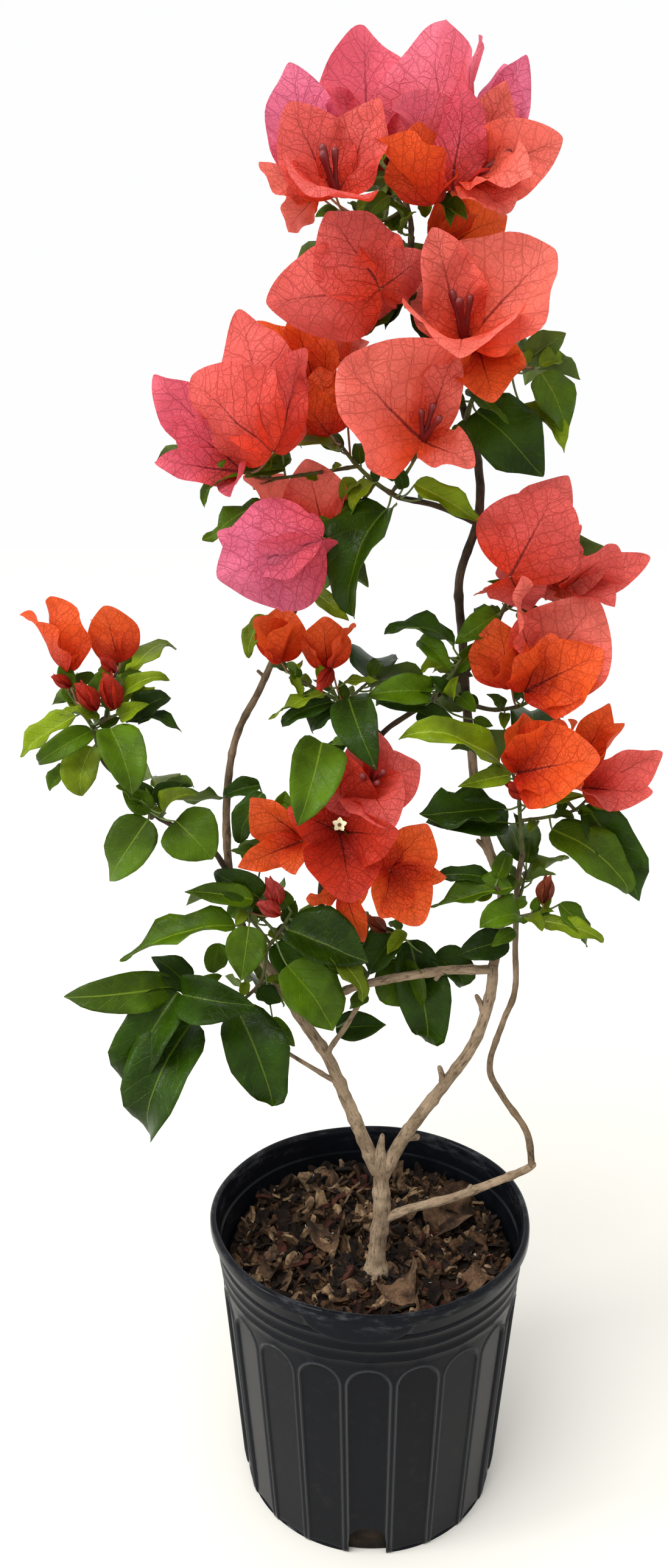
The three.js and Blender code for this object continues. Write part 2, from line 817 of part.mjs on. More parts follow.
// A tapering tube along a curve. A margin makes it fatter and longer.
function tube(curve, radii, sides, steps, margin = 0) {
  const { tangents, normals, binormals } = curve.computeFrenetFrames(steps, false);
  const rings = tangents.map((tangent, step) => {
    const outwards = Number(step === steps) - Number(step === 0);
    const centre = curve.getPointAt(step / steps).addScaledVector(tangent, outwards * margin);
    const radius = along(radii, step / steps) + margin;
    return Array.from({ length: sides }, (_, side) => {
      const angle = (2 * Math.PI * side) / sides;
      return centre.clone()
        .addScaledVector(normals[step], radius * Math.cos(angle))
        .addScaledVector(binormals[step], radius * Math.sin(angle));
    });
  });
  return skin(rings);
}

// A start a little further from an end, so that a piece is sunk in what carries it
function sunk(start, end) {
  return start.clone().addScaledVector(end.clone().sub(start).normalize(), -SUNK);
}

// A leaf or bract: a thin blade in an arc from its foot to its tip, with a flat
// upper face and a keel along its middle, on a straight stalk from its root.
// Curl is the arc's whole turn towards the upper face.
function blade({ root, foot, tip, up, width, curl, outline }, margin = 0) {
  const chord = tip.clone().sub(foot);
  const ahead = chord.clone().normalize();
  const side = new THREE.Vector3().crossVectors(ahead, up);
  const arcRadius = chord.length() / (2 * Math.sin(curl / 2));
  const section = (share, halfWidth, keel) => {
    const turn = curl * (share - 0.5);
    const centre = foot.clone()
      .addScaledVector(ahead, arcRadius * (Math.sin(turn) + Math.sin(curl / 2)))
      .addScaledVector(up, arcRadius * (Math.cos(curl / 2) - Math.cos(turn)));
    const upward = up.clone().multiplyScalar(Math.cos(turn)).addScaledVector(ahead, -Math.sin(turn));
    const corner = (across, lift) => (
      centre.clone().addScaledVector(side, across).addScaledVector(upward, lift)
    );
    return [
      corner(halfWidth + margin, keel / 2 + margin),
      corner(0, -keel / 2 - 2 * margin),
      corner(-halfWidth - margin, keel / 2 + margin),
    ];
  };
  const rings = [[sunk(foot, tip)]];
  if (root) {
    const stalkEnd = section(0, STALK_RADIUS, 2 * STALK_RADIUS);
    const toRoot = sunk(root, foot).sub(foot);
    rings.splice(0, 1, stalkEnd.map((corner) => corner.clone().add(toRoot)), stalkEnd);
  }
  outline.forEach(([share, widthShare]) => {
    rings.push(section(share, (width / 2) * widthShare, BLADE_THICKNESS));
  });
  rings.push([section(1 + margin / chord.length(), 0, 0)[1]]);
  return skin(rings);
}

// The unit vector square to a way that comes nearest to a wanted one
function squareTo(way, wanted) {
  return wanted.clone().addScaledVector(way, -wanted.dot(way) / way.lengthSq()).normalize();
}

// The point of a curve that comes nearest to a place
function nearestPoint(curve, place) {
  const distance = (point) => point.distanceTo(place);
  return curve.getSpacedPoints(ROOT_STEPS).reduce((best, point) => (
    distance(point) < distance(best) ? point : best
  ));
}

// A leaf faces up and outwards, rolled a little by chance
function leafBlade({ root, foot, tip, width }, outward, random) {
  const way = tip.clone().sub(foot);
  const up = squareTo(way, outward.clone().add(LEAF_LIFT));
  up.applyAxisAngle(way.normalize(), within(LEAF_ROLL, random));
  return { root, foot, tip, up, width, curl: LEAF_CURL, outline: LEAF_OUTLINE };
}

// Bracts round a bloom's axis, each with its upper face towards it. The axis
// leans the way that the bloom faces, to the viewer or away.
function bloomBlades(foot, tips) {
  const ways = tips.map((tip) => tip.clone().sub(foot));
  const axis = ways.reduce((sum, way) => sum.addScaledVector(way, 1 / way.length()), new THREE.Vector3());
  axis.multiply(FACE_ON).normalize();
  return ways.map((way, index) => ({
    foot,
    tip: tips[index],
    up: squareTo(way, axis),
    width: way.length() * BRACT_WIDTH,
    curl: BRACT_CURL,
    outline: BRACT_OUTLINE,
  }));
}

// A bud is a short three-sided body that swells and closes towards its tip
function bud(foot, tip) {
  const radii = BUD_SHAPE.map((share) => share * foot.distanceTo(tip));
  return { curve: new THREE.LineCurve3(foot, tip), radii, steps: radii.length - 1, blades: [] };
}

// A short twig on the side away from the viewer, with leaves that fan out
function backTwig(shoot, random) {
  const start = shoot.getPointAt(within(BACK_TWIG_SPAN, random));
  const away = new THREE.Vector3(within(BACK_TWIG_SPREAD, random), 0.8, within(BACK_TWIG_CLIMB, random));
  away.normalize();
  const tip = start.clone().addScaledVector(away, within(BACK_TWIG_REACH, random));
  const curve = new THREE.LineCurve3(start, tip);
  const blades = BACK_LEAVES.map(([share, swing]) => {
    const way = away.clone().applyAxisAngle(UPRIGHT, swing + within(BACK_LEAF_SWING, random));
    way.z -= BACK_LEAF_DROOP;
    way.normalize();
    const root = curve.getPointAt(share);
    const foot = root.clone().addScaledVector(way, LEAF_STALK);
    const length = within(BACK_LEAF_LENGTH, random);
    const tip = foot.clone().addScaledVector(way, length);
    return leafBlade({ root, foot, tip, width: length * LEAF_WIDTH }, away, random);
  });
  return { curve, radii: SHOOT_RADII, isBack: true, blades };
}

// Everything that grows in one mass, as sprays: each is a twig with its blades
function grow({ seed, shoots, backTwigs }) {
  const random = seededNumbers(seed);
  const curves = [];
  const sprays = [];
  shoots.forEach(({ from, route, leaves, blooms = [] }) => {
    const places = route.map(seen);
    if (from) {
      places.unshift(curves[from[0]].getPointAt(from[1]));
    }
    const curve = faceted(curveThrough(places), TWIG_STEP);
    const steps = curve.curves.length;
    curves.push(curve);
    const blades = leaves.map(([footPlace, tipPlace, seenWidth]) => {
      const foot = seen(footPlace);
      const tip = seen(tipPlace);
      const width = seenWidth * nearness(foot);
      return leafBlade({ root: nearestPoint(curve, foot), foot, tip, width }, TO_VIEWER, random);
    });
    sprays.push({ curve, steps, radii: from ? SHOOT_RADII : STEM_RADII, isShoot: true, blades });
    blooms.forEach((bloom, index) => {
      const foot = seen(bloom.foot);
      const tips = bloom.tips.map(seen);
      const start = curve.getPointAt(1 - (0.5 * index) / blooms.length);
      const stalk = { curve: new THREE.LineCurve3(start, foot), radii: BLOOM_STALK_RADII };
      if (tips.length > 1) {
        sprays.push({ ...stalk, blades: bloomBlades(foot, tips) });
      } else {
        sprays.push({ ...stalk, blades: [] }, bud(foot, tips[0]));
      }
    });
  });
  for (let count = 0; count < backTwigs; count++) {
    sprays.push(backTwig(curves[count % curves.length], random));
  }
  return sprays;
}

function twigTube({ curve, radii, steps = 1 }, margin = 0) {
  return tube(curve, radii, TWIG_SIDES, steps, margin);
}

// A solid with its box, so that far-off pieces are told apart at once
function boxed(solid) {
  return { solid, box: solid.boundingBox() };
}

function touches(one, other) {
  const boxesMeet = [0, 1, 2].every((axis) => (
    one.box.min[axis] < other.box.max[axis] && other.box.min[axis] < one.box.max[axis]
  ));
  return boxesMeet && !one.solid.intersect(other.solid).isEmpty();
}

// One mass as a solid. Its shoots are trimmed off the limbs, and a twig or
// blade that comes too near to a limb or to another mass is left out. So is a
// back leaf that would cross any blade. The hulls of what it keeps are added
// to taken, for the masses after it.
function massSolid(name, sprays, limbHulls, taken) {
  const kept = [];
  const others = taken.filter(({ owner }) => owner !== name);
  const isClear = (hull, rest = others) => !rest.some((other) => touches(hull, other));
  const keep = (solid, hull) => {
    kept.push(solid);
    taken.push({ owner: name, ...hull });
  };
  sprays.forEach((spray) => {
    const hull = boxed(twigTube(spray, GAP));
    if (spray.isShoot) {
      keep(limbHulls.reduce((twig, limb) => twig.subtract(limb), twigTube(spray)), hull);
    } else if (isClear(hull)) {
      keep(twigTube(spray), hull);
    } else {
      return;
    }
    spray.blades.filter(({ foot, tip }) => foot.distanceTo(tip) > SMALLEST_BLADE).forEach((shape) => {
      const bladeHull = boxed(blade(shape, GAP));
      const crosses = spray.isBack && !isClear(boxed(blade({ ...shape, root: null })), taken);
      if (!crosses && isClear(bladeHull)) {
        keep(blade(shape), bladeHull);
      }
    });
  });
  return largestBody(wasm.Manifold.union(kept).simplify(SLIVER));
}

// One limb with its snags, and the same a gap larger all round
function limbSolid({ route, radii, stubs = [] }, margin = 0) {
  const curve = curveThrough(route.map(seen));
  const sides = radii[0] > THIN_LIMB_RADIUS ? LIMB_SIDES : THIN_LIMB_SIDES;
  const steps = Math.round(curve.getLength() / LIMB_STEP);
  const snags = stubs.map(([share, bearing, length]) => {
    const foot = curve.getPointAt(share);
    const radius = along(radii, share);
    const angle = THREE.MathUtils.degToRad(bearing);
    const way = new THREE.Vector3(Math.cos(angle), 0, Math.sin(angle));
    const tip = foot.clone().addScaledVector(way, radius + length);
    const stubRadii = STUB_TAPER.map((share) => share * radius);
    return tube(new THREE.LineCurve3(foot, tip), stubRadii, STUB_SIDES, 1, margin);
  });
  return wasm.Manifold.union([tube(curve, radii, sides, steps, margin), ...snags]);
}

// The pot's outside from its underside up to the lip, as [radius, height]. The
// flutes shape two of its points: the foot and the arch.
const FOOT_POINT = 1;
const ARCH_POINT = 2;

function potOutside() {
  const rings = RING_LEVELS.map((level, index) => [SHOULDER_RADIUS + index * RING_STEP, level]);
  const lipFoot = POT_HEIGHT - LIP_HEIGHT;
  return [
    [0, 0],
    [BASE_RADIUS, 0],
    [bodyRadius(FLUTE_TOP - 1), FLUTE_TOP - 1],
    [bodyRadius(FLUTE_TOP), FLUTE_TOP],
    ...rings,
    [LIP_RADIUS - LIP_OVERHANG, lipFoot],
    [LIP_RADIUS, lipFoot + LIP_ROUNDING],
    [LIP_RADIUS, POT_HEIGHT - LIP_ROUNDING],
    [LIP_RADIUS - LIP_ROUNDING, POT_HEIGHT],
  ];
}

function bodyRadius(height) {
  return THREE.MathUtils.mapLinear(height, 0, RING_LEVELS[0], BASE_RADIUS, SHOULDER_RADIUS);
}

function insideRadius(height) {
  return bodyRadius(height) - FLUTE_DEPTH - POT_WALL;
}

// How high a flute's arch stands at an angle from the front: 1 in the middle
// of a flute, and 0 on the land between two
function fluteShare(angle) {
  const pitch = (2 * Math.PI) / FLUTES;
  const offset = Math.abs(angle / pitch - Math.round(angle / pitch)) * 2;
  return offset > FLUTE_SHARE ? 0 : Math.sqrt(1 - (offset / FLUTE_SHARE) ** 2);
}

function potSolid() {
  const inside = [
    [LIP_RADIUS - LIP_ROUNDING - RIM_WIDTH, POT_HEIGHT],
    [insideRadius(SOIL_TOP), SOIL_TOP],
    [insideRadius(POT_WALL), POT_WALL],
    [0, POT_WALL],
  ];
  const profile = [...potOutside(), ...inside].map(([radius, height]) => new THREE.Vector2(radius, height));
  const shell = new THREE.LatheGeometry(profile, FLUTES * POT_FACETS_PER_FLUTE, Math.PI / FLUTES);
  const places = shell.attributes.position;
  for (let index = 0; index < places.count; index++) {
    const point = index % profile.length;
    if (point !== FOOT_POINT && point !== ARCH_POINT) {
      continue;
    }
    const place = new THREE.Vector3().fromBufferAttribute(places, index);
    const share = fluteShare(Math.atan2(place.x, place.z));
    if (point === ARCH_POINT) {
      place.y -= FLUTE_ARCH * (1 - share);
    }
    const depth = share > 0 ? FLUTE_DEPTH : 0;
    const radius = Math.hypot(place.x, place.z);
    const wanted = bodyRadius(place.y) - depth;
    places.setXYZ(index, (place.x * wanted) / radius, place.y, (place.z * wanted) / radius);
  }
  shell.rotateX(Math.PI / 2);
  return drainCutters().reduce((pot, cutter) => pot.subtract(cutter), solidFromGeometry(shell));
}

// Arched cutters for the drain holes, low in the wall all round
function drainCutters() {
  const corner = DRAIN_CORNER;
  const half = DRAIN_WIDTH / 2;
  const outline = new THREE.Shape();
  outline.moveTo(-half, -1);
  outline.lineTo(half, -1);
  outline.lineTo(half, DRAIN_HEIGHT - corner);
  outline.quadraticCurveTo(half, DRAIN_HEIGHT, half - corner, DRAIN_HEIGHT);
  outline.lineTo(corner - half, DRAIN_HEIGHT);
  outline.quadraticCurveTo(-half, DRAIN_HEIGHT, -half, DRAIN_HEIGHT - corner);
  const reach = BASE_RADIUS - insideRadius(0) + 2 * DRAIN_REACH;
  return Array.from({ length: DRAIN_HOLES }, (_, number) => {
    const extent = { depth: reach, bevelEnabled: false, curveSegments: 3 };
    const cutter = new THREE.ExtrudeGeometry(outline, extent);
    cutter.rotateX(Math.PI / 2);
    cutter.translate(0, DRAIN_REACH - insideRadius(0), 0);
    cutter.rotateZ((number * 2 * Math.PI) / DRAIN_HOLES);
    return solidFromGeometry(cutter);
  });
}

// The potting mix fills the pot and lies higher at the back. A margin lifts
// its top.
function soilSolid(margin = 0) {
  const lowest = SOIL_TOP - SOIL_RISE * SHOULDER_RADIUS;
  const profile = [
    [0, POT_WALL + GAP],
    [insideRadius(POT_WALL) - 2 * GAP, POT_WALL + GAP],
    [insideRadius(lowest) - 2 * GAP, SOIL_TOP + margin],
    [0, SOIL_TOP + margin],
  ].map(([radius, height]) => new THREE.Vector2(radius, height));
  const lathe = new THREE.LatheGeometry(profile, FLUTES * 2);
  lathe.rotateX(Math.PI / 2);
  return solidFromGeometry(lathe).warp((place) => {
    place[2] += place[2] < lowest ? 0 : SOIL_RISE * place[1];
  });
}

const plant = new THREE.Group();
plant.add(meshFrom("pot", potSolid(), COLOURS.pot, 0.45));
plant.add(meshFrom("potting_mix", soilSolid(), COLOURS.soil, 0.95));

const limbHulls = {};
LIMBS.forEach((limb) => {
  limbHulls[limb.name] = limbSolid(limb, GAP);
  const parent = limb.parent ? limbHulls[limb.parent] : soilSolid(GAP);
  const colour = limb.young ? COLOURS.youngBark : COLOURS.oldBark;
  plant.add(meshFrom(limb.name, largestBody(limbSolid(limb).subtract(parent)), colour, 0.9));
});

const sprays = MASSES.map(grow);
const taken = Object.entries(limbHulls).map(([owner, solid]) => ({ owner, ...boxed(solid) }));
sprays.forEach((list, index) => {
  const shoots = list.filter(({ isShoot }) => isShoot);
  taken.push(...shoots.map((shoot) => ({ owner: MASSES[index].name, ...boxed(twigTube(shoot, GAP)) })));
});
MASSES.forEach(({ name }, index) => {
  const solid = massSolid(name, sprays[index], Object.values(limbHulls), taken);
  const colour = name.endsWith("leaves") ? COLOURS.leaf : COLOURS.bract;
  plant.add(meshFrom(name, solid, colour, 0.6));
});

export default plant;
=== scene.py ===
"""Looks of a bougainvillea bush in its nursery pot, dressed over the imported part.

The plant grows by the same rule as the part's source: limbs run along routes as
the viewer sees them, and each mass of foliage grows shoots, leaves and blooms
from a seeded run of numbers. Here the rule is carried on to finer twigs.
"""

import math
from collections import defaultdict, namedtuple
from itertools import zip_longest

import bpy
import numpy as np
from mathutils import Matrix, Vector, noise


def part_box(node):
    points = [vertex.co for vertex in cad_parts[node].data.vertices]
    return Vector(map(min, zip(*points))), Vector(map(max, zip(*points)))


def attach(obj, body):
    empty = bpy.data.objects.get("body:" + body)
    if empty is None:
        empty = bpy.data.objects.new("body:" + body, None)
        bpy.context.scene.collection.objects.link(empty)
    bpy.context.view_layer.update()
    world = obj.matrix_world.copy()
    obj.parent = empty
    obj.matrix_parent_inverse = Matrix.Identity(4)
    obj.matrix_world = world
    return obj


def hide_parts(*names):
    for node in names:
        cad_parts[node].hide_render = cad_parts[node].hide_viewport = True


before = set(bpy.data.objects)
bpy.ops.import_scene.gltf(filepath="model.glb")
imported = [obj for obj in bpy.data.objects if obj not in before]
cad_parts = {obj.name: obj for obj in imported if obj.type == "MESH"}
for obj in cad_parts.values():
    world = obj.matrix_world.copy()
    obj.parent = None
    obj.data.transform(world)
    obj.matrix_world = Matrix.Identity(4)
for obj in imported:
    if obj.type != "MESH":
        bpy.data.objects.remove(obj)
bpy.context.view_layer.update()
POT_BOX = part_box("pot")
SOIL_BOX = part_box("potting_mix")

bl_info = {
    "name": "Bougainvillea Bush",
    "version": (1, 0, 0),
    "blender": (4, 5, 0),
    "location": "View3D > Sidebar > Bougainvillea",
    "description": "Dresses a bougainvillea bush in a fluted nursery pot",
    "category": "Add Mesh",
}

MM = 0.001
UP = np.array([0.0, 0.0, 1.0])

# The viewer's eye. A place is written in millimetres as it shows from there: x
# and z on the upright plane through the pot's middle, then how far behind that
# plane it lies.
EYE = np.array([0.0, -0.900, 0.862])
EYE_PITCH = -14.35
EYE_YAW = 2.0
EYE_LENS = 27.04

Limb = namedtuple("Limb", "route radii snags bark", defaults=[(), "old_bark"])
Mass = namedtuple("Mass", "seed back_twigs shoots")
Leaf = namedtuple("Leaf", "foot tip width tint")
Shoot = namedtuple("Shoot", "route leaves blooms start", defaults=[(), None])
Bloom = namedtuple("Bloom", "foot tips tint widths tubes star", defaults=[(), False, None])

# Woody limbs. Radii are in millimetres and change evenly along the route. A snag
# has its place along the limb, its bearing in degrees and its length.
LIMBS = {
    "trunk": Limb(
        [(5, 174, -31), (7, 219, -27), (10, 250, -23), (9, 279, -20), (8, 303, -18), (10, 324, -17)],
        [9, 7.6, 7, 7.2, 6.2, 1.6],
    ),
    "left_bough": Limb(
        [(6, 287, -18), (-15, 341, -12), (-38, 398, -4), (-49, 415, 0), (-88, 478, 9), (-106, 508, 13)],
        [6, 5.4, 4.8, 4.4, 4],
        [(0.42, 115, 9)],
    ),
    "left_riser": Limb(
        [(-105, 505, 13), (-114, 540, 16), (-117, 611, 20), (-108, 669, 22),
         (-88, 709, 21), (-62, 767, 18), (-57, 778, 18)],
        [3.8, 3.2, 2.8, 2.3],
        [(0.62, 60, 6), (0.76, 150, 6)],
    ),
    "dead_twig": Limb([(-28, 371, -8), (-50, 385, -12), (-73, 400, -15)], [2.3, 1.9, 1.5]),
    "inner_twig": Limb([(-37, 396, -4), (-34, 404, -8), (-23, 421, -10), (-10, 445, -9)], [2.4, 2.2, 1.9]),
    "left_shoot": Limb(
        [(-115, 552, 17), (-130, 577, 4), (-177, 607, -14), (-194, 629, -18),
         (-213, 647, -21), (-219, 668, -22)],
        [2.4, 2, 1.7],
        bark="young_bark",
    ),
    "right_bough": Limb(
        [(9, 280, -18), (28, 321, -16), (61, 371, -13), (85, 410, -11), (97, 453, -9), (99, 482, -8)],
        [5.8, 5.3, 4.7, 4.5, 4.3],
        [(0.2, 350, 8), (0.47, 118, 12), (0.66, 60, 8), (0.8, 128, 13)],
    ),
    "cross_branch": Limb(
        [(97, 476, -8), (63, 475, -13), (22, 468, -17), (-17, 458, -20), (-36, 448, -21)],
        [3.8, 3.6, 3.2],
        [(0.3, 250, 6)],
    ),
    "centre_stem": Limb(
        [(-33, 450, -21), (-40, 500, -15), (-40, 560, -7), (-26, 606, 0),
         (4, 670, 4), (28, 689, 4), (65, 716, 2), (90, 748, 0)],
        [3, 2.8, 2.6, 2.3, 2, 1.7],
        bark="young_bark",
    ),
    "low_vine": Limb(
        [(9, 240, -24), (35, 252, -27), (72, 264, -29), (105, 279, -34), (135, 294, -38), (140, 299, -39)],
        [3.9, 3.6, 3.4, 3],
        [(0.55, 75, 5)],
    ),
    "vine_riser": Limb(
        [(138, 296, -39), (132, 328, -38), (111, 361, -36), (99, 386, -34),
         (109, 431, -31), (117, 456, -29), (116, 500, -25), (116, 552, -20), (119, 577, -18)],
        [2.8, 2.5, 2.3, 2.1],
        bark="young_bark",
    ),
    "leader_foot": Limb(
        [(99, 478, -8), (103, 515, -2), (103, 550, 5), (91, 582, 13), (80, 628, 18), (75, 669, 20)],
        [4.1, 3.9, 3.8, 3.6],
        [(0.5, 140, 12)],
    ),
    "leader": Limb(
        [(75, 665, 20), (70, 705, 18), (67, 743, 14), (63, 791, 8), (76, 838, 0),
         (75, 872, -5), (64, 911, -12), (38, 960, -24), (23, 998, -34), (23, 1031, -40)],
        [3.5, 3.4, 3.1, 2.8, 2.3],
        [(0.46, 35, 11)],
        "young_bark",
    ),
    "side_branch": Limb([(75, 833, 0), (46, 845, -5), (14, 852, -12)], [2.5, 2.2, 1.9], bark="young_bark"),
}

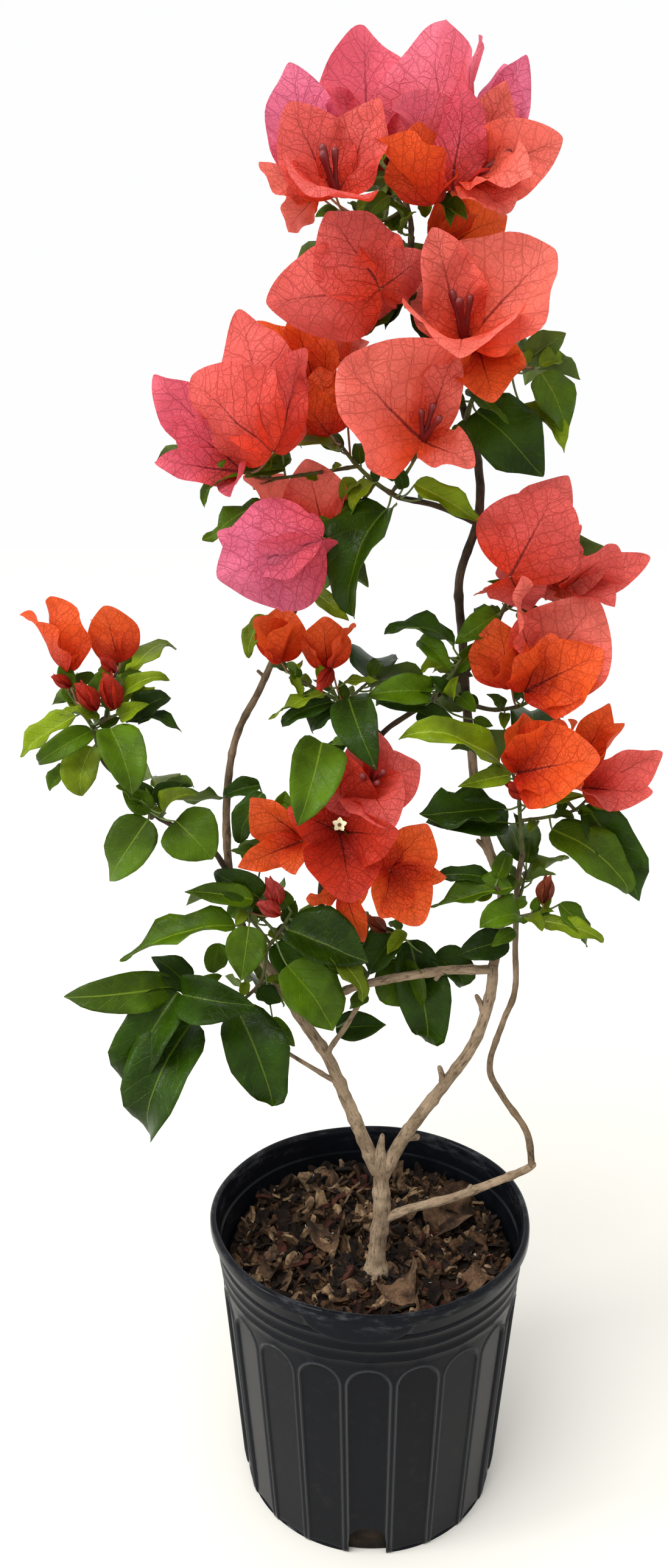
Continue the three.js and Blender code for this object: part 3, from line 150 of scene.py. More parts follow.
# Masses of foliage. A shoot has its route, leaves and blooms, and a later shoot
# starts part way along an earlier one. Every place is as seen. A leaf has the
# foot and the tip of its blade, and its width. A bloom has its foot and the tips
# of its bracts, and is a closed bud if it has only one. Its widths are shares of
# the bracts' lengths, its tubes are closed flowers, and a star is an open one.
# A leaf's tint is partly painted light and shade: deep for a leaf that lies in shade, bright for one that is
# lit.
MASSES = {
    "top_flowers": Mass(11, 2, [
        Shoot([(23, 1026, -40), (22, 1042, -42), (12, 1066, -42), (-2, 1080, -40)], [
            Leaf((18, 1036, -46), (4, 1050, -52), 11, "mid"),
            Leaf((16, 1032, -50), (26, 1046, -60), 12, "bright"),
            Leaf((6, 1056, -52), (-12, 1040, -60), 14, "mid"),
        ], [
            Bloom((-8, 1070, -14), [(-11, 1161, -8), (-36, 1124, -24), (14, 1113, -30)], "rose",
                  widths=(0.71, 0.85, 0.73)),
            Bloom((37, 1050, -70), [(-7, 1092, -84), (27, 1103, -76), (50, 1086, -56)], "orange",
                  widths=(0.98, 0.99, 0.85)),
        ]),
        Shoot([(0, 1040, -48), (-24, 1046, -52)], [
            Leaf((-14, 1036, -56), (-26, 1022, -62), 12, "mid"),
        ], [
            Bloom((-30, 1056, -78), [(-63, 1116, -88), (0, 1118, -86), (-50, 1056, -126)], "coral",
                  widths=(0.83, 0.68, 1.16), tubes=True),
            Bloom((-44, 1066, -46), [(-62, 1139, -40), (-36, 1121, -58), (-77, 1096, -50)], "magenta",
                  widths=(0.67, 0.73, 0.85)),
            Bloom((-44, 1058, -36), [(-84, 1078, -46), (-64, 1034, -40), (-60, 1064, -12)], "salmon",
                  widths=(0.61, 1.04, 0.98)),
        ], (0, 0.35)),
        Shoot([(34, 1060, -44), (50, 1066, -44)], [
            Leaf((48, 1052, -52), (62, 1040, -60), 12, "bright"),
            Leaf((40, 1056, -50), (50, 1036, -58), 11, "mid"),
        ], [
            Bloom((42, 1080, -48), [(37, 1165, -40), (68, 1153, -28), (10, 1116, -64)], "pink",
                  widths=(1.12, 1.0, 1.1), tubes=True),
            Bloom((51, 1059, -72), [(57, 1128, -94), (78, 1112, -60), (74, 1096, -34)], "rose",
                  widths=(0.58, 0.7, 0.73)),
            Bloom((70, 1076, -40), [(99, 1143, -34), (84, 1138, -18), (98, 1106, -30)], "magenta",
                  widths=(0.49, 0.61, 0.55)),
            Bloom((62, 1066, -66), [(126, 1092, -84), (106, 1068, -110), (92, 1045, -84), (86, 1127, -70)],
                  "salmon", widths=(0.8, 0.58, 1.1, 0.62), tubes=True),
        ], (0, 0.5)),
    ]),
    "upper_left_flowers": Mass(12, 1, [
        Shoot([(30, 980, -29), (16, 990, -46), (4, 993, -58)], [
            Leaf((24, 992, -44), (6, 968, -58), 22, "deep"),
            Leaf((14, 984, -50), (-16, 962, -56), 20, "mid"),
            Leaf((26, 1000, -34), (12, 1022, -40), 12, "bright"),
            Leaf((30, 984, -42), (36, 956, -52), 18, "deep"),
        ], [
            Bloom((2, 996, -84), [(-36, 1047, -70), (-80, 987, -62), (33, 1018, -68), (-16, 972, -56)],
                  "coral", widths=(1.04, 0.76, 0.85, 0.99)),
        ]),
    ]),
    "upper_right_flowers": Mass(13, 2, [
        Shoot([(64, 905, -12), (72, 925, -24), (96, 940, -26), (112, 942, -22)], [
            Leaf((72, 912, -30), (122, 866, -48), 50, "deep"),
            Leaf((66, 928, -22), (96, 904, -50), 19, "mid"),
            Leaf((104, 916, -24), (137, 883, -30), 16, "bright"),
            Leaf((118, 938, -26), (138, 896, -30), 32, "mid"),
            Leaf((70, 902, -18), (54, 892, -28), 11, "mid"),
        ], [
            Bloom((72, 956, -44), [(107, 944, -64), (84, 918, -78), (56, 937, -66)], "orange"),
        ]),
        Shoot([(66, 950, -40), (60, 985, -34), (58, 1010, -30)], [
            Leaf((66, 1004, -36), (100, 1012, -44), 16, "mid"),
            Leaf((62, 992, -40), (52, 976, -48), 10, "bright"),
            Leaf((64, 1006, -34), (44, 1018, -36), 12, "mid"),
        ], [
            Bloom((62, 961, -64), [(38, 1036, -84), (124, 1021, -78), (58, 948, -128), (26, 1000, -48)],
                  "salmon", widths=(0.61, 1.04, 1.25, 0.73), tubes=True),
            Bloom((38, 1020, -26), [(57, 1062, -30), (89, 1044, -18), (70, 1043, -44)], "orange"),
        ], (0, 0.35)),
    ]),
    "middle_left_flowers": Mass(14, 2, [
        Shoot([(17, 851, -12), (2, 860, -14), (-14, 874, -14), (-34, 898, -12)], [
            Leaf((8, 843, -28), (-15, 763, -44), 50, "deep"),
            Leaf((33, 850, -14), (54, 841, -22), 19, "deep"),
            Leaf((-2, 862, -24), (-18, 842, -38), 17, "bright"),
            Leaf((-27, 886, -24), (-69, 880, -30), 20, "bright"),
            Leaf((28, 861, -30), (78, 832, -30), 18, "bright"),
            Leaf((20, 858, -28), (14, 876, -34), 11, "deep"),
            Leaf((-14, 862, -26), (-26, 849, -32), 14, "bright"),
        ], [
            Bloom((-42, 922, -24), [(-85, 976, -36), (-62, 984, -28), (-34, 968, -30), (-26, 946, -34)],
                  "orange", widths=(0.61, 0.61, 0.55, 0.73)),
            Bloom((-34, 896, -40), [(-60, 926, -50), (-42, 944, -34), (-24, 924, -20)], "orange",
                  widths=(0.98, 0.92, 0.85)),
            Bloom((-24, 946, -4), [(-62, 981, -6), (-31, 975, 0), (-6, 960, 2)], "salmon"),
        ]),
        Shoot([(-45, 869, -22), (-83, 865, -28), (-98, 869, -32)], [
            Leaf((-68, 872, -34), (-98, 866, -42), 9, "mid"),
            Leaf((-70, 890, -34), (-82, 870, -42), 11, "bright"),
            Leaf((-84, 868, -34), (-128, 844, -44), 16, "mid"),
        ], [
            Bloom((-76, 884, -84), [(-136, 937, -74), (-99, 982, -56), (-52, 956, -62)], "coral",
                  widths=(1.08, 0.61, 0.67)),
            Bloom((-99, 870, -48),
                  [(-163, 938, -42), (-165, 877, -60), (-150, 910, -54), (-108, 852, -66)], "rose",
                  widths=(0.55, 0.44, 0.73, 1.25)),
        ], (0, 0.55)),
        Shoot([(24, 872, -34), (32, 886, -46)], [
            Leaf((30, 890, -44), (18, 876, -52), 9, "bright"),
        ], [
            Bloom((34, 892, -56), [(-28, 944, -84), (56, 957, -74), (72, 873, -88)], "salmon",
                  widths=(1.15, 0.48, 0.7), tubes=True),
        ], (0, 0.1)),
        Shoot([(-16, 842, -26), (-32, 828, -34)], [
            Leaf((-36, 826, -36), (-48, 808, -44), 12, "mid"),
            Leaf((-84, 848, -30), (-130, 819, -36), 17, "mid"),
        ], [
            Bloom((-40, 822, -84), [(-119, 792, -76), (-119, 824, -60), (-72, 768, -62)], "magenta",
                  widths=(0.98, 0.76, 1.04)),
            Bloom((-38, 822, -22), [(-98, 868, -30), (-52, 879, -20), (-24, 852, -30)], "salmon",
                  widths=(0.61, 0.92, 0.73)),
        ], (0, 0.3)),
    ]),
    "riser_tip_leaves": Mass(15, 1, [
        Shoot([(-58, 774, 18), (-54, 792, 16), (-60, 812, 14)], [
            Leaf((-44, 780, 8), (-20, 760, -8), 14, "bright"),
            Leaf((-84, 764, 6), (-97, 731, -4), 17, "bright"),
            Leaf((-58, 806, 10), (-72, 790, 0), 14, "mid"),
        ]),
    ]),
    "small_orange_flowers": Mass(16, 1, [
        Shoot([(6, 671, 4), (-10, 684, -8), (-28, 699, -14), (-33, 708, -14)], [
            Leaf((-39, 703, -20), (-83, 683, -30), 18, "bright"),
            Leaf((-33, 697, -14), (-72, 677, -16), 17, "deep"),
            Leaf((-24, 712, -20), (3, 714, -26), 10, "bright"),
            Leaf((-20, 700, -20), (2, 643, -62), 36, "deep"),
            Leaf((-26, 692, -12), (-48, 672, -10), 20, "deep"),
        ], [
            Bloom((-36, 722, -16), [(-40, 763, -26), (-15, 758, -12), (-57, 749, -12)], "orange"),
            Bloom((-33, 724, -24), [(-44, 706, -30)], "red"),
        ]),
        Shoot([(-50, 710, -12), (-66, 720, -10)], [
            Leaf((-66, 716, -14), (-56, 700, -22), 9, "bright"),
        ], [
            Bloom((-72, 728, -10), [(-93, 761, -14), (-70, 772, 0), (-60, 760, -28)], "orange"),
        ], (0, 0.8)),
    ]),
    "centre_right_leaves": Mass(17, 1, [
        Shoot([(46, 699, 3), (48, 706, -12), (58, 718, -14), (66, 732, -14)], [
            Leaf((43, 706, -18), (-6, 702, -28), 25, "mid"),
            Leaf((39, 695, -8), (2, 697, -10), 15, "deep"),
            Leaf((34, 690, -2), (61, 675, -4), 20, "deep"),
            Leaf((60, 740, -22), (8, 749, -30), 27, "deep"),
            Leaf((34, 746, -22), (58, 722, -32), 17, "mid"),
            Leaf((62, 722, -10), (81, 746, -6), 14, "mid"),
            Leaf((60, 702, -18), (64, 718, -26), 10, "bright"),
            Leaf((66, 702, -10), (78, 690, -18), 13, "mid"),
            Leaf((77, 684, 0), (92, 679, -4), 9, "mid"),
            Leaf((58, 702, -14), (42, 718, -20), 13, "deep"),
        ]),
    ]),
    "right_top_flowers": Mass(18, 2, [
        Shoot([(89, 745, 0), (94, 762, -4), (102, 782, -10)], [
            Leaf((92, 765, -10), (61, 743, -20), 22, "mid"),
            Leaf((108, 768, -8), (130, 752, -14), 18, "mid"),
            Leaf((102, 778, -14), (84, 790, -18), 13, "mid"),
        ], [
            Bloom((101, 794, -62), [(133, 858, -48), (141, 867, -18), (88, 812, -24), (116, 768, -34)],
                  "coral", widths=(1.08, 0.61, 0.61, 0.99)),
            Bloom((101, 788, -12), [(74, 779, -8), (90, 816, -14), (141, 774, -14)], "salmon",
                  widths=(0.73, 0.61, 0.73)),
        ]),
        Shoot([(118, 782, -6), (138, 790, -10)], [
            Leaf((136, 788, -12), (150, 772, -16), 12, "mid"),
        ], [
            Bloom((144, 784, -20), [(178, 818, -44), (204, 808, -16), (152, 832, -14), (180, 771, -40)],
                  "coral", widths=(0.99, 0.51, 0.22, 0.85)),
            Bloom((126, 792, -14), [(172, 800, -30), (152, 816, -18), (128, 776, -30)], "salmon",
                  widths=(0.73, 0.61, 0.73)),
        ], (0, 0.6)),
    ]),
    "right_middle_flowers": Mass(19, 1, [
        Shoot([(70, 697, 18), (92, 692, 12), (114, 696, 0), (126, 704, -8)], [
            Leaf((122, 700, -10), (146, 686, -14), 18, "deep"),
            Leaf((108, 700, -6), (128, 712, -12), 14, "mid"),
            Leaf((100, 694, 4), (86, 704, -4), 11, "mid"),
        ], [
            Bloom((121, 712, -30), [(167, 777, -34), (178, 734, -40), (106, 794, -62)], "salmon",
                  widths=(0.95, 0.85, 0.2), tubes=True),
            Bloom((115, 706, -42), [(174, 738, -78), (171, 713, -66), (134, 752, -66), (150, 744, -60)],
                  "orange", widths=(0.73, 0.61, 0.92, 0.73)),
            Bloom((105, 709, -26), [(92, 763, -30), (112, 752, -40), (80, 740, -16)], "orange"),
        ]),
    ]),
    "left_tip_flowers": Mass(20, 2, [
        Shoot([(-218, 664, -22), (-221, 676, -24), (-230, 690, -26), (-238, 704, -26)], [
            Leaf((-207, 675, -42), (-192, 621, -62), 35, "mid"),
            Leaf((-216, 680, -36), (-247, 685, -42), 17, "bright"),
            Leaf((-234, 685, -30), (-281, 652, -38), 23, "bright"),
            Leaf((-222, 673, -34), (-266, 646, -46), 20, "mid"),
            Leaf((-222, 660, -30), (-232, 620, -44), 32, "bright"),
            Leaf((-238, 642, -24), (-258, 624, -28), 15, "mid"),
            Leaf((-214, 656, -22), (-230, 642, -24), 14, "deep"),
        ], [
            Bloom((-240, 719, -26), [(-272, 765, -34), (-248, 778, -30), (-218, 745, -18)], "orange"),
            Bloom((-217, 689, -40), [(-231, 712, -44)], "red"),
            Bloom((-236, 708, -30), [(-251, 717, -34)], "red"),
        ]),
        Shoot([(-206, 684, -22), (-194, 690, -20)], [
            Leaf((-197, 700, -30), (-158, 714, -34), 14, "bright"),
            Leaf((-199, 684, -34), (-176, 695, -40), 15, "bright"),
            Leaf((-186, 684, -20), (-158, 700, -22), 25, "deep"),
            Leaf((-194, 680, -26), (-152, 672, -26), 18, "deep"),
        ], start=(0, 0.3)),
        Shoot([(-212, 706, -26), (-199, 720, -26)], [
            Leaf((-206, 704, -30), (-194, 714, -40), 10, "mid"),
        ], [
            Bloom((-197, 727, -26), [(-208, 770, -36), (-188, 752, -14), (-219, 760, -18)], "orange"),
            Bloom((-203, 690, -40), [(-208, 720, -44)], "red"),
            Bloom((-201, 719, -36), [(-212, 732, -40)], "red"),
        ], (0, 0.55)),
    ]),
    "left_middle_leaves": Mass(21, 1, [
        Shoot([(-175, 605, -13), (-178, 603, -24), (-180, 614, -32)], [
            Leaf((-180, 601, -34), (-213, 549, -42), 42, "mid"),
            Leaf((-158, 600, -40), (-129, 568, -50), 48, "mid"),
            Leaf((-166, 606, -36), (-140, 621, -46), 19, "bright"),
            Leaf((-177, 610, -30), (-200, 624, -32), 20, "mid"),
            Leaf((-172, 614, -24), (-152, 630, -22), 18, "deep"),
            Leaf((-178, 614, -24), (-186, 632, -20), 14, "deep"),
        ]),
    ]),
    "low_left_leaves": Mass(22, 2, [
        Shoot([(-88, 478, 9), (-86, 492, -4), (-76, 506, -12), (-66, 524, -14)], [
            Leaf((-69, 508, -22), (-3, 480, -46), 46, "deep"),
            Leaf((-70, 477, -30), (-32, 419, -44), 50, "mid"),
            Leaf((-36, 492, -34), (-7, 445, -50), 22, "bright"),
            Leaf((-44, 486, -18), (-14, 460, -24), 26, "deep"),
            Leaf((-80, 496, -6), (-60, 466, -4), 26, "deep"),
            Leaf((-83, 430, -16), (-64, 404, -20), 12, "mid"),
        ]),
        Shoot([(-92, 462, -6), (-116, 440, -14), (-138, 432, -18), (-147, 444, -20)], [
            Leaf((-162, 457, -26), (-257, 446, -46), 34, "mid"),
            Leaf((-161, 452, -30), (-205, 364, -36), 44, "deep"),
            Leaf((-150, 424, -30), (-187, 321, -54), 60, "deep"),
            Leaf((-112, 438, -22), (-83, 346, -44), 52, "deep"),
            Leaf((-157, 450, -36), (-98, 441, -52), 40, "deep"),
            Leaf((-152, 458, -20), (-182, 483, -20), 28, "deep"),
            Leaf((-126, 496, -16), (-132, 470, -14), 20, "mid"),
            Leaf((-96, 452, -6), (-76, 444, -6), 18, "deep"),
        ], start=(0, 0.3)),
        Shoot([(-92, 508, -14), (-100, 520, -20), (-98, 536, -20)], [
            Leaf((-112, 511, -34), (-208, 478, -54), 31, "mid"),
            Leaf((-101, 511, -40), (-108, 463, -60), 34, "mid"),
            Leaf((-97, 534, -30), (-153, 540, -40), 20, "mid"),
            Leaf((-92, 536, -22), (-129, 557, -24), 28, "deep"),
            Leaf((-90, 562, -14), (-114, 576, -16), 20, "mid"),
            Leaf((-104, 524, -32), (-112, 512, -40), 10, "bright"),
        ], [
            Bloom((-76, 529, -22), [(-85, 554, -24)], "coral"),
            Bloom((-75, 521, -26), [(-94, 533, -30)], "coral"),
        ], (0, 0.45)),
    ]),
    "low_centre_leaves": Mass(23, 2, [
        Shoot([(-12, 441, -9), (-8, 462, -4), (12, 492, 0), (26, 508, -2)], [
            Leaf((30, 501, 8), (46, 408, 10), 42, "deep"),
            Leaf((18, 484, 4), (34, 441, 4), 42, "mid"),
            Leaf((20, 508, -6), (-3, 470, -14), 32, "deep"),
            Leaf((50, 486, 4), (73, 460, 0), 28, "deep"),
            Leaf((-30, 422, 10), (12, 425, 6), 26, "deep"),
            Leaf((26, 508, -12), (12, 488, -24), 12, "bright"),
            Leaf((-4, 452, -10), (-18, 440, -14), 14, "mid"),
        ], [
            Bloom((11, 508, -12), [(-5, 521, -14)], "dry"),
        ]),
    ]),
    "centre_flowers": Mass(24, 2, [
        Shoot([(-41, 545, -8), (-34, 556, -24), (-22, 572, -36), (-12, 586, -42)], [
            Leaf((-26, 566, -44), (-10, 548, -50), 12, "mid"),
        ], [
            Bloom((-4, 630, -42), [(-4, 678, -40), (36, 648, -54), (16, 596, -84), (-47, 622, -58)],
                  "coral", widths=(0.85, 1.04, 1.04, 0.98), tubes=True),
            Bloom((-27, 592, -44), [(-68, 612, -62), (20, 592, -84), (-16, 532, -80), (-26, 658, -60)],
                  "red", widths=(0.73, 0.85, 1.08, 0.85), star=(-27, 598, -72)),
            Bloom((14, 560, -44),
                  [(42, 600, -46), (6, 520, -68), (59, 555, -44), (38, 513, -62), (0, 588, -50)], "orange",
                  widths=(1.04, 1.04, 0.44, 0.92, 0.98)),
            Bloom((-24, 542, -30), [(-54, 536, -34), (-7, 498, -30), (-4, 544, -40)], "orange",
                  widths=(0.55, 0.49, 0.85)),
        ]),
        Shoot([(-52, 574, -28), (-74, 598, -24), (-84, 612, -22)], [
            Leaf((-88, 624, -14), (-106, 582, -14), 22, "deep"),
            Leaf((-90, 630, -4), (-118, 620, -2), 16, "deep"),
        ], [
            Bloom((-57, 584, -38), [(-98, 619, -42), (-109, 562, -52), (-62, 556, -62)], "orange",
                  widths=(0.85, 0.49, 0.98)),
        ], (0, 0.3)),
        Shoot([(-36, 592, -28), (-40, 640, -24), (-39, 664, -24)], [
            Leaf((-41, 665, -58), (-60, 597, -94), 42, "mid"),
            Leaf((-38, 648, -20), (-20, 668, -16), 16, "deep"),
        ], start=(0, 0.45)),
    ]),
    "right_low_flowers": Mass(25, 2, [
        Shoot([(119, 574, -18), (116, 600, -19), (114, 622, -22), (108, 644, -26)], [
            Leaf((98, 650, -34), (18, 668, -50), 25, "bright"),
            Leaf((106, 640, -40), (66, 630, -54), 17, "bright"),
            Leaf((102, 612, -24), (36, 608, -44), 38, "deep"),
            Leaf((106, 601, -16), (41, 601, -22), 32, "deep"),
            Leaf((130, 615, -30), (166, 623, -38), 11, "bright"),
        ], [
            Bloom((112, 642, -50), [(176, 654, -84), (114, 690, -54), (164, 632, -80), (146, 684, -64)],
                  "orange", widths=(0.92, 0.73, 0.67, 0.92)),
            Bloom((158, 642, -34), [(193, 682, -34), (181, 697, -30), (150, 685, -40)], "orange",
                  widths=(0.98, 0.55, 0.98)),
            Bloom((121, 622, -40), [(104, 634, -46)], "red"),
        ]),
        Shoot([(136, 606, -24), (158, 612, -26), (170, 624, -26)], [
            Leaf((141, 596, -30), (203, 543, -46), 38, "mid"),
            Leaf((166, 616, -24), (212, 538, -28), 36, "deep"),
            Leaf((142, 606, -28), (158, 604, -34), 10, "mid"),
        ], [
            Bloom((163, 630, -34), [(224, 659, -38), (218, 628, -54), (186, 611, -60)], "coral",
                  widths=(0.56, 0.61, 1.04)),
        ], (0, 0.4)),
    ]),
    "right_foot_leaves": Mass(26, 1, [
        Shoot([(116, 518, -24), (116, 522, -36), (108, 536, -42), (98, 548, -42)], [
            Leaf((98, 553, -30), (48, 555, -34), 15, "deep"),
            Leaf((112, 547, -40), (46, 530, -44), 26, "mid"),
            Leaf((119, 523, -40), (87, 512, -56), 27, "mid"),
            Leaf((110, 502, -12), (70, 488, -16), 27, "deep"),
            Leaf((115, 510, -40), (97, 496, -52), 13, "mid"),
        ]),
        Shoot([(126, 524, -36), (138, 528, -36)], [
            Leaf((135, 519, -40), (187, 501, -48), 16, "bright"),
            Leaf((150, 534, -34), (173, 497, -38), 22, "mid"),
            Leaf((124, 521, -42), (137, 510, -56), 14, "bright"),
        ], [
            Bloom((137, 534, -38), [(140, 558, -40)], "dry"),
        ], (0, 0.3)),
    ]),
}

# Twigs and blades, in metres, radians and shares of a blade's length
STEM_RADII = (2.0 * MM, 1.3 * MM)
SHOOT_RADII = (1.5 * MM, 1.0 * MM)
STALK_RADII = (0.9 * MM, 0.7 * MM)
LEAF_STALK = 10 * MM
STALK_SAG = 0.1
BLOOM_STALK_SAG = 0.08
LEAF_WIDTH = 0.66
LEAF_ROLL = (-0.45, 0.45)
LEAF_CRUMPLE = 0.06
LEAF_LIFT = np.array([0, 0, 0.7])
TO_VIEWER = np.array([0, -0.75, 0])
BRACT_WIDTH = 0.9
BRACT_WIDTH_CHANCE = (0.94, 1.08)
BRACT_CURL = 0.75
BRACT_CRUMPLE = 0.09
RECURVE_OF_NEAR_BRACTS = 0.9
FACE_ON = np.array([1, 3, 1])
BLOOM_SPAN = 0.5
TUBE_LENGTH = (27 * MM, 34 * MM)
TUBE_LEAN = 0.35
BUD_OPENING = 0.3
BUD_SPREAD = 0.12
BUD_WIDTH = 0.62

# A blade's outline: how full it is at its foot and at its tip, and how far it is
# pinched to a point. Then its looks, each between two limits that chance keeps.
LEAF_SHAPE = (0.46, 0.72, 0.6)
BRACT_SHAPE = (0.42, 0.56, 0.46)
DEAD_LEAF_SHAPE = (0.45, 0.6, 0.3)
LEAF_LOOKS = {
    "curl": (-0.85, -0.15), "recurve": (-0.4, 1.5), "fold": (0.15, 0.9),
    "ripple": (0.03, 0.09), "twist": (-0.9, 0.9),
}
BRACT_LOOKS = {
    "recurve": (0.3, 0.9), "cup": (0.2, 0.7), "fold": (0.1, 0.3),
    "ripple": (0.03, 0.08), "twist": (-0.45, 0.45),
}
DEAD_LEAF_LOOKS = {"curl": (-2.2, 1.6), "fold": (-1, 1.4), "cup": (-1.5, 2.5), "twist": (-1.5, 1.5)}
BUD_LOOKS = {"curl": 1.5, "recurve": 0.7, "cup": 1.6, "fold": 0.3, "ripple": 0.02, "crumple": 0.05}

# Back twigs, as in the part's source: the span of a shoot that they grow from,
# their reach, how they spread and climb, and how their leaves fan out
BACK_TWIG_SPAN = (0.3, 0.9)
BACK_TWIG_REACH = (26 * MM, 52 * MM)
BACK_TWIG_SPREAD = (-0.8, 0.8)
BACK_TWIG_CLIMB = (-0.1, 0.8)
BACK_TWIG_DEPTH = 0.8
BACK_LEAVES = ((0.6, -0.9), (1.0, 0.4))
BACK_LEAF_SWING = (0, 0.4)
BACK_LEAF_LENGTH = (40 * MM, 66 * MM)
BACK_LEAF_DROOP = 0.35

# Young leaves between the others: their places along a shoot, the limits of
# their ways, and how they fan out on a back twig
YOUNG_LEAF_PLACES = (0.25, 0.5, 0.72, 0.9, 1.0)
YOUNG_LEAF_WAYS = ((-1, 1), (-0.4, 1), (-0.4, 1))
YOUNG_LEAF_LENGTH = (10 * MM, 24 * MM)
LARGEST_YOUNG_LEAF = 30 * MM
YOUNG_BACK_LEAVES = ((0.35, 1.1), (0.75, -1.6), (1.0, 0.2))
YOUNG_BACK_LEAF_CLIMB = (-0.5, 0.3)
YOUNG_BACK_LEAF_LENGTH = (18 * MM, 36 * MM)

# Along a limb, the bark's map runs slower by this share, so its streaks are long
FIBRE_STRETCH = 0.22


def chances(seed):
    """A repeatable run of numbers between 0 and 1, the same as the part's source has"""
    state = seed * 7919
    while True:
        state = state * 16807 % 2147483647
        yield state / 2147483647


def within(limits, chance):
    """A chance number between two limits"""
    return limits[0] + (limits[1] - limits[0]) * next(chance)


def picked(looks, chance):
    """One of each look, by chance"""
    return {name: within(limits, chance) for name, limits in looks.items()}


def unit(vector):
    return vector / np.linalg.norm(vector)


def square_to(direction, wanted):
    """The unit vector square to a direction that comes nearest to a wanted one"""
    return unit(wanted - direction * np.dot(wanted, direction))


def turned(vector, axis, angle):
    """A vector turned round a unit axis"""
    along = axis * np.dot(axis, vector)
    return along + (vector - along) * math.cos(angle) + np.cross(axis, vector) * math.sin(angle)


def nearness(place):
    """How large a length at this place is, against how it shows on the plane"""
    return 1 - place[1] / EYE[1]


def seen(place):
    """A place as seen, slid along the line of sight to its depth"""
    x, z, depth = (MM * value for value in place)
    return EYE + (np.array([x, 0, z]) - EYE) * (1 - depth / EYE[1])


def heading(bearing):
    """A direction from a bearing in the plane that faces the viewer"""
    angle = math.radians(bearing)
    return np.array([math.cos(angle), 0, math.sin(angle)])


class Path:
    """A smooth centripetal curve through points, measured along its length"""

    def __init__(self, points, samples=16):
        points = np.array(points, float)
        ends = [2 * points[0] - points[1]], [2 * points[-1] - points[-2]]
        row = np.vstack([ends[0], points, ends[1]])
        spans = [self.span(*row[first:first + 4], samples) for first in range(len(points) - 1)]
        self.places = np.vstack([*spans, points[-1:]])
        steps = np.linalg.norm(np.diff(self.places, axis=0), axis=1)
        self.marks = np.concatenate([[0], np.cumsum(steps)])
        self.length = self.marks[-1]

    @staticmethod
    def span(before, start, end, after, samples):
        """Points on the stretch from start to end"""
        first, middle, last = (
            math.sqrt(np.linalg.norm(b - a)) for a, b in ((before, start), (start, end), (end, after))
        )
        leave = (start - before) / first - (end - before) / (first + middle) + (end - start) / middle
        arrive = (end - start) / middle - (after - start) / (middle + last) + (after - end) / last
        t = np.linspace(0, 1, samples, endpoint=False)[:, None]
        return (
            start * (2 * t**3 - 3 * t**2 + 1) + end * (3 * t**2 - 2 * t**3)
            + leave * middle * (t**3 - 2 * t**2 + t) + arrive * middle * (t**3 - t**2)
        )

    def nearest(self, place):
        """The point of the curve that comes nearest to a place"""
        return self.places[np.argmin(np.linalg.norm(self.places - place, axis=1))]

    def at(self, share):
        """The place, or the places, a share of the way along"""
        mark = np.asarray(share) * self.length
        return np.stack([np.interp(mark, self.marks, self.places[:, axis]) for axis in range(3)], axis=-1)


def frames_along(places):
    """Tangents and two square directions at each place of a row, with no twist between them"""
    tangents = np.gradient(places, axis=0)
    tangents /= np.linalg.norm(tangents, axis=1)[:, None]
    side = square_to(tangents[0], np.array([0.31, -0.9, 0.27]))
    sides = []
    for tangent in tangents:
        side = square_to(tangent, side)
        sides.append(side)
    sides = np.array(sides)
    return tangents, sides, np.cross(tangents, sides)


def outline(share, foot, tip, pinch):
    """How wide a blade is at a share of its length, about 1 where it is widest, pinched to a point"""
    widest = foot / (foot + tip)
    rounded = share**foot * (1 - share) ** tip / (widest**foot * (1 - widest) ** tip)
    return rounded * (1 - pinch * share**5)


